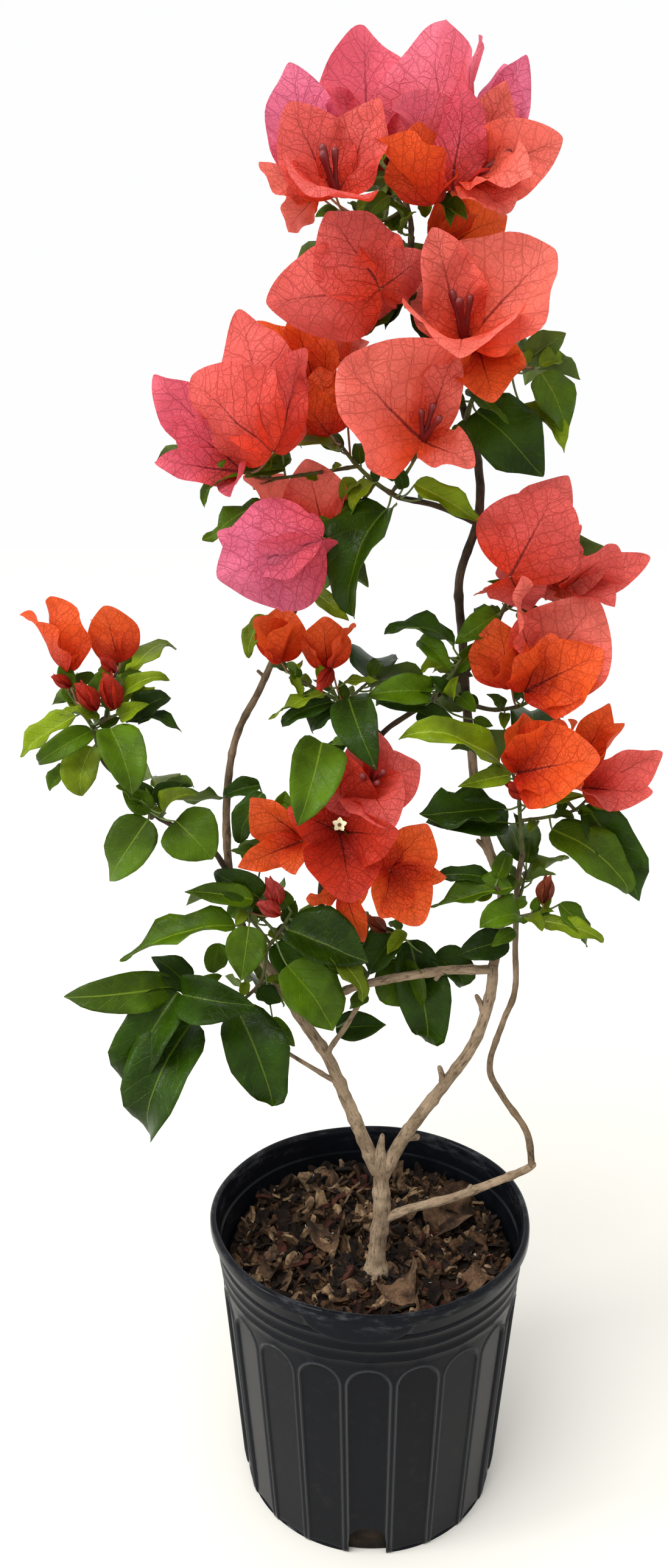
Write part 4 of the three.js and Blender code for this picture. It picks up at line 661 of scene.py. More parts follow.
class Blade:
    """A leaf or a bract: a bent sheet from its foot to its tip, worked out as a grid of points.

    Its looks are shares of its length: fold and cup across it, ripple along its
    edges, crumple all over; curl bends it up on the whole and recurve bends its
    tip back.
    """
    EDGE_WAVES = 2.2
    OTHER_EDGE_PHASE = 0.37
    FOLD_ROUNDING = 0.02

    def __init__(self, foot, tip, up, width, tint, chance, **looks):
        self.foot, self.tip, self.tint, self.width = foot, tip, tint, width
        self.length = np.linalg.norm(tip - foot)
        self.direction = (tip - foot) / self.length
        self.up = square_to(self.direction, up)
        self.shape, self.phase, self.twist = looks["shape"], next(chance), looks.get("twist", 0)
        self.curl, self.recurve = looks["curl"], looks.get("recurve", 0)
        self.fold, self.cup = looks.get("fold", 0), looks.get("cup", 0)
        self.ripple, self.crumple = looks.get("ripple", 0), looks.get("crumple", 0)

    def spine(self, along):
        """The bent middle of the blade, turned and sized so that it ends at the tip"""
        turn = self.curl * along - self.recurve * along**3
        step = np.diff(along, axis=0, prepend=0)
        ahead = np.cumsum(np.cos(turn) * step, axis=0)
        lift = np.cumsum(np.sin(turn) * step, axis=0)
        chord = math.hypot(ahead[-1, 0], lift[-1, 0])
        slope = math.atan2(lift[-1, 0], ahead[-1, 0])
        ahead, lift = (
            (ahead * math.cos(slope) + lift * math.sin(slope)) / chord,
            (lift * math.cos(slope) - ahead * math.sin(slope)) / chord,
        )
        return ahead, lift, turn - slope

    def grid(self, rows, columns):
        """Points of the sheet, and where each lies on the blade's own map"""
        along = (0.5 - 0.5 * np.cos(np.linspace(0, np.pi, rows)))[:, None]
        across = np.linspace(-1, 1, columns)[None, :]
        ahead, lift, turn = self.spine(along)
        aside = self.width / 2 * outline(along, *self.shape) * across
        phase = self.phase + self.OTHER_EDGE_PHASE * (across > 0)
        waves = np.sin(2 * np.pi * (self.EDGE_WAVES * along + phase))
        relief = (
            self.fold * (np.hypot(aside, self.FOLD_ROUNDING) - self.FOLD_ROUNDING)
            + self.cup * aside**2
            + self.twist * aside * along**2
            + self.ripple * np.abs(across) ** 3 * waves * np.sqrt(along * (1 - along)) * 2
        )
        if self.crumple:
            spots = np.stack(np.broadcast_arrays(aside * 4, along * 4, self.phase * 50), axis=-1)
            bumps = [noise.noise(Vector(spot)) for spot in spots.reshape(-1, 3)]
            relief = relief + self.crumple * np.array(bumps).reshape(aside.shape) * np.sqrt(along)
        side = np.cross(self.direction, self.up)
        points = (
            (ahead - relief * np.sin(turn))[..., None] * self.direction
            + (lift + relief * np.cos(turn))[..., None] * self.up
            + aside[..., None] * side
        )
        points = self.foot + points * self.length
        places = np.stack([0.5 + aside, np.broadcast_to(along, aside.shape)], axis=-1)
        return points.reshape(-1, 3), places.reshape(-1, 2)


class Growth:
    """What has grown: twigs and stalks as paths with radii, blades, flower tubes and stars"""

    def __init__(self):
        self.twigs = defaultdict(list)
        self.leaves = []
        self.bracts = []
        self.tubes = []
        self.stars = []

    def twig(self, kind, path, radii):
        self.twigs[kind].append((path, radii))

    def leaf(self, root, foot, tip, width, outward, chance, fine, tint=None):
        """A leaf faces up and outwards, rolled a little by chance, on its own stalk"""
        length = np.linalg.norm(tip - foot)
        direction = (tip - foot) / length
        up = turned(square_to(direction, outward + LEAF_LIFT), direction, within(LEAF_ROLL, chance))
        if not tint:
            tints = ("deep", "mid", "mid", "bright") if length > LARGEST_YOUNG_LEAF else ("mid", "bright")
            tint = tints[int(next(fine) * len(tints))]
        looks = picked(LEAF_LOOKS, fine)
        self.leaves.append(
            Blade(foot, tip, up, width / length, tint, fine, shape=LEAF_SHAPE, crumple=LEAF_CRUMPLE, **looks)
        )
        sag = UP * STALK_SAG * np.linalg.norm(foot - root)
        start = foot + direction * 0.5 * MM
        self.twig("leaf_stalks", Path([root, (root + foot) / 2 - sag, start], 3), STALK_RADII)

    def young_leaf(self, root, way, length, outward, chance, fine):
        """A leaf with no place of its own: it grows a given way from its root"""
        foot = root + way * min(LEAF_STALK, 0.3 * length)
        self.leaf(root, foot, foot + way * length, LEAF_WIDTH * length, outward, chance, fine)

    def bloom(self, bloom, fine):
        """Bracts round the axis that they share, each cupped towards it"""
        foot = seen(bloom.foot)
        tips = [seen(tip) for tip in bloom.tips]
        ways = [unit(tip - foot) for tip in tips]
        if len(tips) == 1:
            self.bud(foot, tips[0], bloom.tint, fine)
            return
        axis = unit(sum(ways) * FACE_ON)
        if bloom.star:
            place = seen(bloom.star)
            self.stars.append((place, unit(place - foot)))
        for tip, way, width in zip_longest(tips, ways, bloom.widths, fillvalue=BRACT_WIDTH):
            width *= within(BRACT_WIDTH_CHANCE, fine)
            looks = picked(BRACT_LOOKS, fine)
            looks["recurve"] += RECURVE_OF_NEAR_BRACTS * max(0.0, -way[1])
            self.bracts.append(Blade(
                foot, tip, square_to(way, axis), width, bloom.tint, fine,
                shape=BRACT_SHAPE, curl=BRACT_CURL, crumple=BRACT_CRUMPLE, **looks,
            ))
            if bloom.tubes:
                tube_way = unit(unit(sum(ways)) + TUBE_LEAN * way)
                self.tubes.append((foot, tube_way, within(TUBE_LENGTH, fine)))

    def bud(self, foot, tip, tint, fine):
        """Three small bracts that still close round their flowers"""
        axis = unit(tip - foot)
        front = square_to(axis, np.array([0, -1, 0.2]))
        length = np.linalg.norm(tip - foot)
        for number in range(3):
            outward = turned(front, axis, number * 2 * math.pi / 3)
            way = axis * math.cos(BUD_OPENING) + outward * math.sin(BUD_OPENING)
            end = foot + (axis + BUD_SPREAD * outward) * length
            up = square_to(way, axis)
            self.bracts.append(Blade(foot, end, up, BUD_WIDTH, tint, fine, shape=BRACT_SHAPE, **BUD_LOOKS))


def back_twig(growth, path, chance, fine):
    """A twig on the side away from the viewer, with leaves that fan out"""
    start = path.at(within(BACK_TWIG_SPAN, chance))
    spread = within(BACK_TWIG_SPREAD, chance)
    away = unit(np.array([spread, BACK_TWIG_DEPTH, within(BACK_TWIG_CLIMB, chance)]))
    twig = Path([start, start + away * within(BACK_TWIG_REACH, chance)])
    growth.twig("shoots", twig, SHOOT_RADII)
    for share, swing in BACK_LEAVES:
        way = turned(away, UP, swing + within(BACK_LEAF_SWING, chance))
        way[2] -= BACK_LEAF_DROOP
        length = within(BACK_LEAF_LENGTH, chance)
        growth.young_leaf(twig.at(share), unit(way), length, away, chance, fine)
    for share, swing in YOUNG_BACK_LEAVES:
        way = turned(away, UP, swing) + UP * within(YOUNG_BACK_LEAF_CLIMB, fine)
        length = within(YOUNG_BACK_LEAF_LENGTH, fine)
        growth.young_leaf(twig.at(share), unit(way), length, away, fine, fine)


def grow(mass):
    """Everything that grows in one mass, in the same order of chance as the part's source"""
    growth = Growth()
    chance = chances(mass.seed)
    fine = chances(mass.seed + 100)
    paths = []
    for shoot in mass.shoots:
        places = [seen(place) for place in shoot.route]
        if shoot.start:
            places.insert(0, paths[shoot.start[0]].at(shoot.start[1]))
        path = Path(places)
        paths.append(path)
        growth.twig("shoots", path, SHOOT_RADII if shoot.start else STEM_RADII)
        for leaf in shoot.leaves:
            foot = seen(leaf.foot)
            width = leaf.width * MM * nearness(foot)
            growth.leaf(path.nearest(foot), foot, seen(leaf.tip), width, TO_VIEWER, chance, fine, leaf.tint)
        for index, bloom in enumerate(shoot.blooms):
            foot = seen(bloom.foot)
            start = path.at(1 - BLOOM_SPAN * index / len(shoot.blooms))
            bend = (start + foot) / 2 - UP * BLOOM_STALK_SAG * np.linalg.norm(foot - start)
            growth.twig("bloom_stalks", Path([start, bend, foot]), STALK_RADII)
            growth.bloom(bloom, fine)
    for count in range(mass.back_twigs):
        back_twig(growth, paths[count % len(paths)], chance, fine)
    for path in paths:
        for share in YOUNG_LEAF_PLACES:
            way = unit(np.array([within(limits, fine) for limits in YOUNG_LEAF_WAYS]))
            growth.young_leaf(path.at(share), way, within(YOUNG_LEAF_LENGTH, fine), TO_VIEWER, fine, fine)
    return growth


def grown_plant():
    """The growth of every mass together"""
    plant = Growth()
    for mass in MASSES.values():
        growth = grow(mass)
        for kind, twigs in growth.twigs.items():
            plant.twigs[kind] += twigs
        plant.leaves += growth.leaves
        plant.bracts += growth.bracts
        plant.tubes += growth.tubes
        plant.stars += growth.stars
    return plant


class Shape:
    """A mesh under construction, with a place for every point on its pattern's map"""

    def __init__(self):
        self.points, self.faces, self.places = [], [], []
        self.count = 0

    def add(self, points, faces, places):
        self.faces += [[corner + self.count for corner in face] for face in faces]
        self.points.append(points)
        self.places.append(places)
        self.count += len(points)

    def add_rings(self, rings, places):
        """Adds a closed tube through rings of points, shape (rings, sides, 3)"""
        count, sides = rings.shape[:2]
        ring = np.arange(sides)
        ahead = np.roll(ring, -1)
        faces = []
        for first in range(0, (count - 1) * sides, sides):
            quads = [first + ring, first + ahead, first + sides + ahead, first + sides + ring]
            faces += np.stack(quads, axis=1).tolist()
        faces += [ring[::-1].tolist(), (ring + (count - 1) * sides).tolist()]
        self.add(rings.reshape(-1, 3), faces, places.reshape(-1, places.shape[-1]))

    def add_sheet(self, points, places, rows, columns):
        """Adds a grid of points as a sheet"""
        first = (np.arange(rows - 1)[:, None] * columns + np.arange(columns - 1)).ravel()
        quads = np.stack([first, first + 1, first + columns + 1, first + columns], axis=1)
        self.add(points, quads.tolist(), places)

    def piece(self, name, materials, pattern="fibre"):
        """The finished piece. A pattern is a point attribute, or a UV map of the blade."""
        mesh = bpy.data.meshes.new(name)
        mesh.from_pydata(np.vstack(self.points).tolist(), [], self.faces)
        places = np.vstack(self.places)
        if pattern == "fibre":
            mesh.attributes.new("fibre", "FLOAT_VECTOR", "POINT").data.foreach_set("vector", places.ravel())
        else:
            corners = np.zeros(len(mesh.loops), np.int32)
            mesh.loops.foreach_get("vertex_index", corners)
            for map_name in ("OFBake", "Blade"):
                mesh.uv_layers.new(name=map_name).data.foreach_set("uv", places[corners].ravel())
        for material in materials:
            mesh.materials.append(material)
        piece = bpy.data.objects.new(name, mesh)
        bpy.context.collection.objects.link(piece)
        select_only(piece)
        bpy.ops.object.mode_set(mode="EDIT")
        bpy.ops.mesh.select_all(action="SELECT")
        bpy.ops.mesh.remove_doubles(threshold=0.01 * MM)
        bpy.ops.object.mode_set(mode="OBJECT")
        bpy.ops.object.shade_smooth()
        return piece


def deselect_all():
    bpy.ops.object.select_all(action="DESELECT")


def select_only(piece):
    deselect_all()
    piece.select_set(True)
    bpy.context.view_layer.objects.active = piece


def settle(piece, slot, *nodes):
    """Puts a finished piece on the plant's body, in place of its nodes. Its slot is not used."""
    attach(piece, "root")
    if nodes:
        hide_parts(*nodes)


def shade(colour, factor, added=0.0):
    """A lighter or darker colour"""
    return [min(1.0, factor * value + added) for value in colour]


class Finish:
    """A material under construction: adds nodes and joins them"""

    def __init__(self, name):
        self.material = bpy.data.materials.new(name)
        self.material.use_nodes = True
        self.tree = self.material.node_tree
        self.shader = self.tree.nodes["Principled BSDF"]
        self.output = self.tree.nodes["Material Output"]

    def add(self, kind, inputs=(), **settings):
        node = self.tree.nodes.new("ShaderNode" + kind)
        for name, value in settings.items():
            setattr(node, name, value)
        for key, value in dict(inputs).items():
            self.give(node.inputs[key], value)
        return node

    def give(self, socket, value):
        """Links a socket, or sets it where the value is plain"""
        if isinstance(value, bpy.types.NodeSocket):
            self.tree.links.new(value, socket)
        else:
            socket.default_value = (*value, 1) if socket.type == "RGBA" and len(value) == 3 else value

    def math(self, operation, first, second=0.0, third=0.0):
        return self.add("Math", {0: first, 1: second, 2: third}, operation=operation).outputs[0]

    def fade(self, value, start, end, low=0.0, high=1.0):
        """A smooth change from low to high as a value goes from start to end"""
        inputs = {"Value": value, "From Min": start, "From Max": end, "To Min": low, "To Max": high}
        return self.add("MapRange", inputs, interpolation_type="SMOOTHSTEP").outputs[0]

    def blend(self, share, first, second, kind="MIX"):
        """Two colours mixed by a share"""
        node = self.add("Mix", {0: share, 6: first, 7: second}, data_type="RGBA", blend_type=kind)
        return node.outputs[2]

    def noise(self, vector, scale, detail=4.0, roughness=0.55):
        inputs = {"Vector": vector, "Scale": scale, "Detail": detail, "Roughness": roughness}
        return self.add("TexNoise", inputs).outputs["Fac"]

    def relief(self, height, distance, strength=1.0):
        """Bump of a real height in metres"""
        inputs = {"Height": height, "Distance": distance, "Strength": strength}
        self.give(self.shader.inputs["Normal"], self.add("Bump", inputs).outputs[0])

    def surface(self, **values):
        for name, value in values.items():
            self.give(self.shader.inputs[name.replace("_", " ").title().replace("Ior", "IOR")], value)

    def let_light_through(self, share, colour):
        """Mixes in light from behind"""
        through = self.add("BsdfTranslucent", {"Color": colour})
        mixed = self.add("MixShader", {0: share, 1: self.shader.outputs[0], 2: through.outputs[0]})
        self.give(self.output.inputs["Surface"], mixed.outputs[0])


def pot_plastic(colours):
    """Satin black moulded plastic, a little dusty, rubbed grey round its lip, with a painted highlight in
    the same grey along each flute's bead
    """
    finish = Finish("pot_plastic")
    place = finish.add("TexCoord").outputs["Object"]
    height = finish.add("SeparateXYZ", {0: place}).outputs[2]
    mottle = finish.noise(place, 14, 6)
    dust = finish.fade(finish.noise(place, 90, 8, 0.7), 0.52, 0.78)
    stretched = finish.add("VectorMath", {0: place, 1: (1, 1, 4)}, operation="MULTIPLY").outputs[0]
    scuffs = finish.fade(finish.noise(stretched, 30, 8, 0.7), 0.48, 0.7)
    wear_and_highlight = finish.math("MULTIPLY", finish.fade(height, 234 * MM, 246 * MM, 0.0, 0.5), scuffs)
    # Painted highlight: each flute's bead is lightened towards the rubbed grey to stand in for the light it
    # catches. The lip's grey above is real wear.
    bead_highlight = finish.add("Attribute", attribute_name="bead").outputs["Fac"]
    wear_and_highlight = finish.math("MULTIPLY_ADD", bead_highlight, 0.45, wear_and_highlight)
    black = finish.blend(mottle, colours.pot, shade(colours.pot, 1.7))
    colour = finish.blend(finish.math("MULTIPLY", dust, 0.2), black, DUST)
    finish.surface(
        base_color=finish.blend(wear_and_highlight, colour, WORN_AND_HIGHLIT_PLASTIC),
        roughness=finish.fade(mottle, 0.3, 0.7, 0.17, 0.25), specular_ior_level=0.08,
    )
    finish.relief(finish.noise(place, 260, 3), 0.08 * MM)
    return finish.material


def rough_matter(name, dark, light, scale, bump):
    """Bark chips, soil and crumbs: patches of two colours over fine grain"""
    finish = Finish(name)
    place = finish.add("TexCoord").outputs["Object"]
    patches = finish.fade(finish.noise(place, scale, 6, 0.65), 0.35, 0.68)
    grain = finish.noise(place, scale * 9, 5, 0.7)
    colour = finish.blend(patches, dark, light)
    level = finish.fade(grain, 0.2, 0.75, 0.45, 1.2)
    grey = finish.add("CombineColor", {"Red": level, "Green": level, "Blue": level}).outputs[0]
    colour = finish.blend(1.0, colour, grey, "MULTIPLY")
    finish.surface(base_color=colour, roughness=0.85, specular_ior_level=0.2)
    finish.relief(grain, bump)
    return finish.material


def bark(name, dark, light, roughness):
    """Bark with fibres along the limb, pale lenticels and darker cracks"""
    finish = Finish(name)
    fibre = finish.add("Attribute", attribute_name="fibre").outputs["Vector"]
    place = finish.add("TexCoord").outputs["Object"]
    streaks = finish.noise(fibre, 480, 7, 0.65)
    patches = finish.noise(place, 45, 4, 0.6)
    colour = finish.blend(finish.fade(patches, 0.3, 0.72), dark, light)
    cracks = finish.fade(streaks, 0.34, 0.5, 0.8, 0.0)
    colour = finish.blend(cracks, colour, shade(dark, 0.3))
    flecks = finish.fade(finish.noise(fibre, 1900, 2), 0.62, 0.7, 0.0, 0.55)
    colour = finish.blend(flecks, colour, shade(light, 1.5))
    finish.surface(base_color=colour, roughness=roughness, specular_ior_level=0.15)
    finish.relief(streaks, 1.2 * MM)
    return finish.material


def vein_pattern(finish, side_veins, slant, midrib, net):
    """How strongly the midrib, the side veins and the fine net show, and how far along a place is"""
    blade = finish.add("UVMap", uv_map="Blade").outputs[0]
    wobble = finish.add("TexNoise", {"Vector": blade, "Scale": 5, "Detail": 3}).outputs["Color"]
    moved = finish.add("VectorMath", {0: wobble, 1: (0.5, 0.5, 0.5)}, operation="SUBTRACT").outputs[0]
    moved = finish.add("VectorMath", {0: moved, 1: (0.08, 0.08, 0), 2: blade}, operation="MULTIPLY_ADD")
    moved = moved.outputs[0]
    straight, along, _ = finish.add("SeparateXYZ", {0: blade}).outputs
    across = finish.add("SeparateXYZ", {0: moved}).outputs[0]
    across = finish.math("ABSOLUTE", finish.math("SUBTRACT", across, 0.5))
    straight = finish.math("ABSOLUTE", finish.math("SUBTRACT", straight, 0.5))
    taper = finish.math("MULTIPLY_ADD", along, -0.8 * midrib, midrib)
    middle = finish.fade(finish.math("DIVIDE", straight, taper), 0.4, 1.0, 1.0, 0.0)
    bent = finish.math("MULTIPLY", finish.math("POWER", across, 0.8), slant)
    row = finish.math("MULTIPLY", finish.math("SUBTRACT", along, bent), side_veins)
    sides = finish.fade(finish.math("PINGPONG", row, 0.5), 0.0, 0.05, 1.0, 0.0)
    nets = []
    for scale, width, strength in ((net, 0.05, 0.75), (net * 2.6, 0.08, 0.3)):
        cells = finish.add("TexVoronoi", {"Vector": moved, "Scale": scale}, feature="DISTANCE_TO_EDGE")
        nets.append(finish.fade(cells.outputs["Distance"], 0.0, width, strength, 0.0))
    return middle, sides, finish.math("MAXIMUM", *nets), along, blade


def bract_finish(name, tip, foot, vein):
    """A papery bract: warmer at its foot, with a net of darker veins, and lit from behind"""
    finish = Finish(name)
    middle, sides, net, along, blade = vein_pattern(finish, 5, 0.9, 0.022, 11)
    clouds = finish.noise(blade, 3.5, 4)
    warm = finish.fade(finish.math("MULTIPLY_ADD", clouds, 0.5, along), 0.2, 0.95)
    colour = finish.blend(warm, foot, tip)
    pale = finish.fade(finish.math("MULTIPLY_ADD", clouds, 0.3, along), 0.85, 1.25, 0.0, 0.3)
    colour = finish.blend(pale, colour, shade(tip, 1.15, 0.06))
    veins = finish.math("MAXIMUM", net, sides)
    colour = finish.blend(finish.math("MULTIPLY", veins, 0.15), colour, vein)
    fading = finish.fade(along, 0.1, 1.0, 0.95, 0.25)
    colour = finish.blend(finish.math("MULTIPLY", middle, fading), colour, shade(vein, 0.45))
    finish.surface(base_color=colour, roughness=0.5, specular_ior_level=0.25)
    creases = finish.math("MULTIPLY_ADD", finish.noise(blade, 16, 3), 0.7, veins)
    finish.relief(creases, 0.8 * MM)
    finish.let_light_through(0.45, colour)
    return finish.material


def leaf_finish(name, face, rib, roughness):
    """A leaf: a pale midrib, faint side veins and a waxy gloss"""
    finish = Finish(name)
    middle, sides, net, _, blade = vein_pattern(finish, 6, 0.9, 0.016, 16)
    place = finish.add("TexCoord").outputs["Object"]
    mottle = finish.fade(finish.noise(place, 24, 3), 0.32, 0.68)
    colour = finish.blend(mottle, shade(face, 0.6), shade(face, 1.5))
    veins = finish.math("MAXIMUM", finish.math("MULTIPLY", sides, 0.5), finish.math("MULTIPLY", net, 0.3))
    colour = finish.blend(finish.math("MULTIPLY", veins, 0.5), colour, rib)
    colour = finish.blend(finish.math("MULTIPLY", middle, 0.85), colour, rib)
    finish.surface(base_color=colour, roughness=roughness, specular_ior_level=0.14)
    sunk_veins = finish.math("MULTIPLY", veins, -0.6)
    quilting = finish.math("MULTIPLY_ADD", finish.noise(blade, 9, 3), 0.8, sunk_veins)
    finish.relief(quilting, 0.9 * MM)
    finish.let_light_through(0.2, colour)
    return finish.material


def stalk_finish(name, colour, roughness):
    """Young green or red skin, streaked along the stalk"""
    finish = Finish(name)
    fibre = finish.add("Attribute", attribute_name="fibre").outputs["Vector"]
    streaks = finish.noise(fibre, 700, 4)
    streaked = finish.blend(streaks, shade(colour, 0.6), shade(colour, 1.4))
    finish.surface(base_color=streaked, roughness=roughness)
    finish.relief(streaks, 0.2 * MM)
    return finish.material


def size(name, description, millimetres):
    """A length that a user may change, written here in millimetres"""
    return bpy.props.FloatProperty(
        name=name, description=description, default=millimetres * MM, min=0, unit="LENGTH", precision=4,
    )


def tint(name, description, colour):
    return bpy.props.FloatVectorProperty(
        name=name, description=description, default=colour, size=3, min=0, max=1, subtype="COLOR",
    )


class PotSizes(bpy.types.PropertyGroup):
    """Sizes of the nursery pot"""
    base_radius: size("Base radius", "Radius of the underside, at the lands between flutes", 111)
    shoulder_radius: size("Shoulder radius", "Radius under the first ring", 128.5)
    wall: size("Wall", "Thickness of the plastic", 2)
    flute_depth: size("Flute depth", "How deep a flute's middle lies under its lands", 2.4)
    flute_top: size("Flute top", "Height of the top of a flute's arch", 194)
    lip_height: size("Lip height", "Height of the band round the lip", 11)
    dent_depth: size("Dent depth", "How far the lip's band sags at the front", 13)
    dent_width: size("Dent width", "Width of the sagging stretch", 86)
    flutes: bpy.props.IntProperty(name="Flutes", description="Flutes round the pot", default=20, min=8)
    drain_holes: bpy.props.IntProperty(
        name="Drain holes", description="Holes round the foot", default=4, min=0,
    )


class MixSizes(bpy.types.PropertyGroup):
    """Sizes of the potting mix"""
    rise: bpy.props.FloatProperty(name="Rise", description="Slope up towards the back", default=0.07)
    level: size("Level", "Height of the mix in the pot's middle", 208)
    chips: bpy.props.IntProperty(name="Chips", description="Bark chips of all kinds", default=1700, min=0)
    litter: bpy.props.IntProperty(name="Litter", description="Curled dead leaves", default=34, min=0)
    seed: bpy.props.IntProperty(name="Seed", description="Changes how the chips lie", default=5, min=1)


class PlantColours(bpy.types.PropertyGroup):
    """Colours of the pot and the plant"""
    pot: tint("Pot", "Black plastic", (0.0035, 0.004, 0.0055))
    soil_dark: tint("Dark mix", "Damp bark", (0.006, 0.0035, 0.002))
    soil_light: tint("Light mix", "Dry bark", (0.03, 0.017, 0.009))
    old_dark: tint("Old bark, dark", "Shaded patches of old bark", (0.168, 0.116, 0.07))
    old_light: tint("Old bark, light", "Weathered patches of old bark", (0.34, 0.25, 0.163))
    young_dark: tint("Young bark, dark", "Dark patches of young bark", (0.02, 0.013, 0.006))
    young_light: tint("Young bark, light", "Light patches of young bark", (0.08, 0.053, 0.03))
    shoot: tint("Shoot", "Green shoots and stalks", (0.10, 0.15, 0.025))
    bloom_stalk: tint("Bloom stalk", "Stalks under the bracts", (0.2, 0.07, 0.02))
    tube: tint("Flower tube", "The true flowers inside the bracts", (0.15, 0.008, 0.008))


DUST = (0.04, 0.038, 0.036)
# The grey of the rubbed lip, which is also the painted highlight along the flutes' bead edges
WORN_AND_HIGHLIT_PLASTIC = (0.085, 0.087, 0.092)
STAR_THROAT = (0.12, 0.05, 0.02)
STAR_PETAL = (0.85, 0.78, 0.5)

# Dark and light patches of a dead leaf; the face and the ribs of a leaf's
# underside, with its roughness
DEAD_LEAF_TINT = ((0.02, 0.01, 0.005), (0.17, 0.095, 0.05))
UNDERSIDE_TINT = ((0.085, 0.135, 0.02), (0.22, 0.28, 0.07), 0.5)

# Colours of a bract's tip, of its foot and of its veins
BRACT_TINTS = {
    "pink": ((0.74, 0.15, 0.21), (0.72, 0.07, 0.045), (0.5, 0.045, 0.07)),
    "rose": ((0.71, 0.1, 0.145), (0.68, 0.045, 0.018), (0.42, 0.022, 0.04)),
    "coral": ((0.75, 0.115, 0.095), (0.68, 0.035, 0.006), (0.42, 0.02, 0.016)),
    "salmon": ((0.84, 0.165, 0.12), (0.76, 0.06, 0.01), (0.52, 0.036, 0.026)),
    "magenta": ((0.7, 0.14, 0.235), (0.66, 0.07, 0.105), (0.4, 0.022, 0.07)),
    "orange": ((0.8, 0.1, 0.016), (0.54, 0.017, 0.001), (0.42, 0.014, 0.002)),
    "red": ((0.58, 0.035, 0.012), (0.4, 0.01, 0.002), (0.28, 0.006, 0.002)),
    "dry": ((0.34, 0.07, 0.025), (0.22, 0.04, 0.015), (0.12, 0.025, 0.01)),
}

# Colours of a leaf's face and of its ribs, and its roughness. The three tints are partly the leaves' own
# spread of greens and partly painted light and shade: a placed leaf that lies in shade takes the deep tint,
# and a lit one takes the bright tint.
LEAF_TINTS = {
    "deep": ((0.018, 0.047, 0.001), (0.1, 0.16, 0.012), 0.28),
    "mid": ((0.052, 0.105, 0.001), (0.17, 0.25, 0.015), 0.31),
    "bright": ((0.13, 0.19, 0.002), (0.3, 0.38, 0.04), 0.34),
}


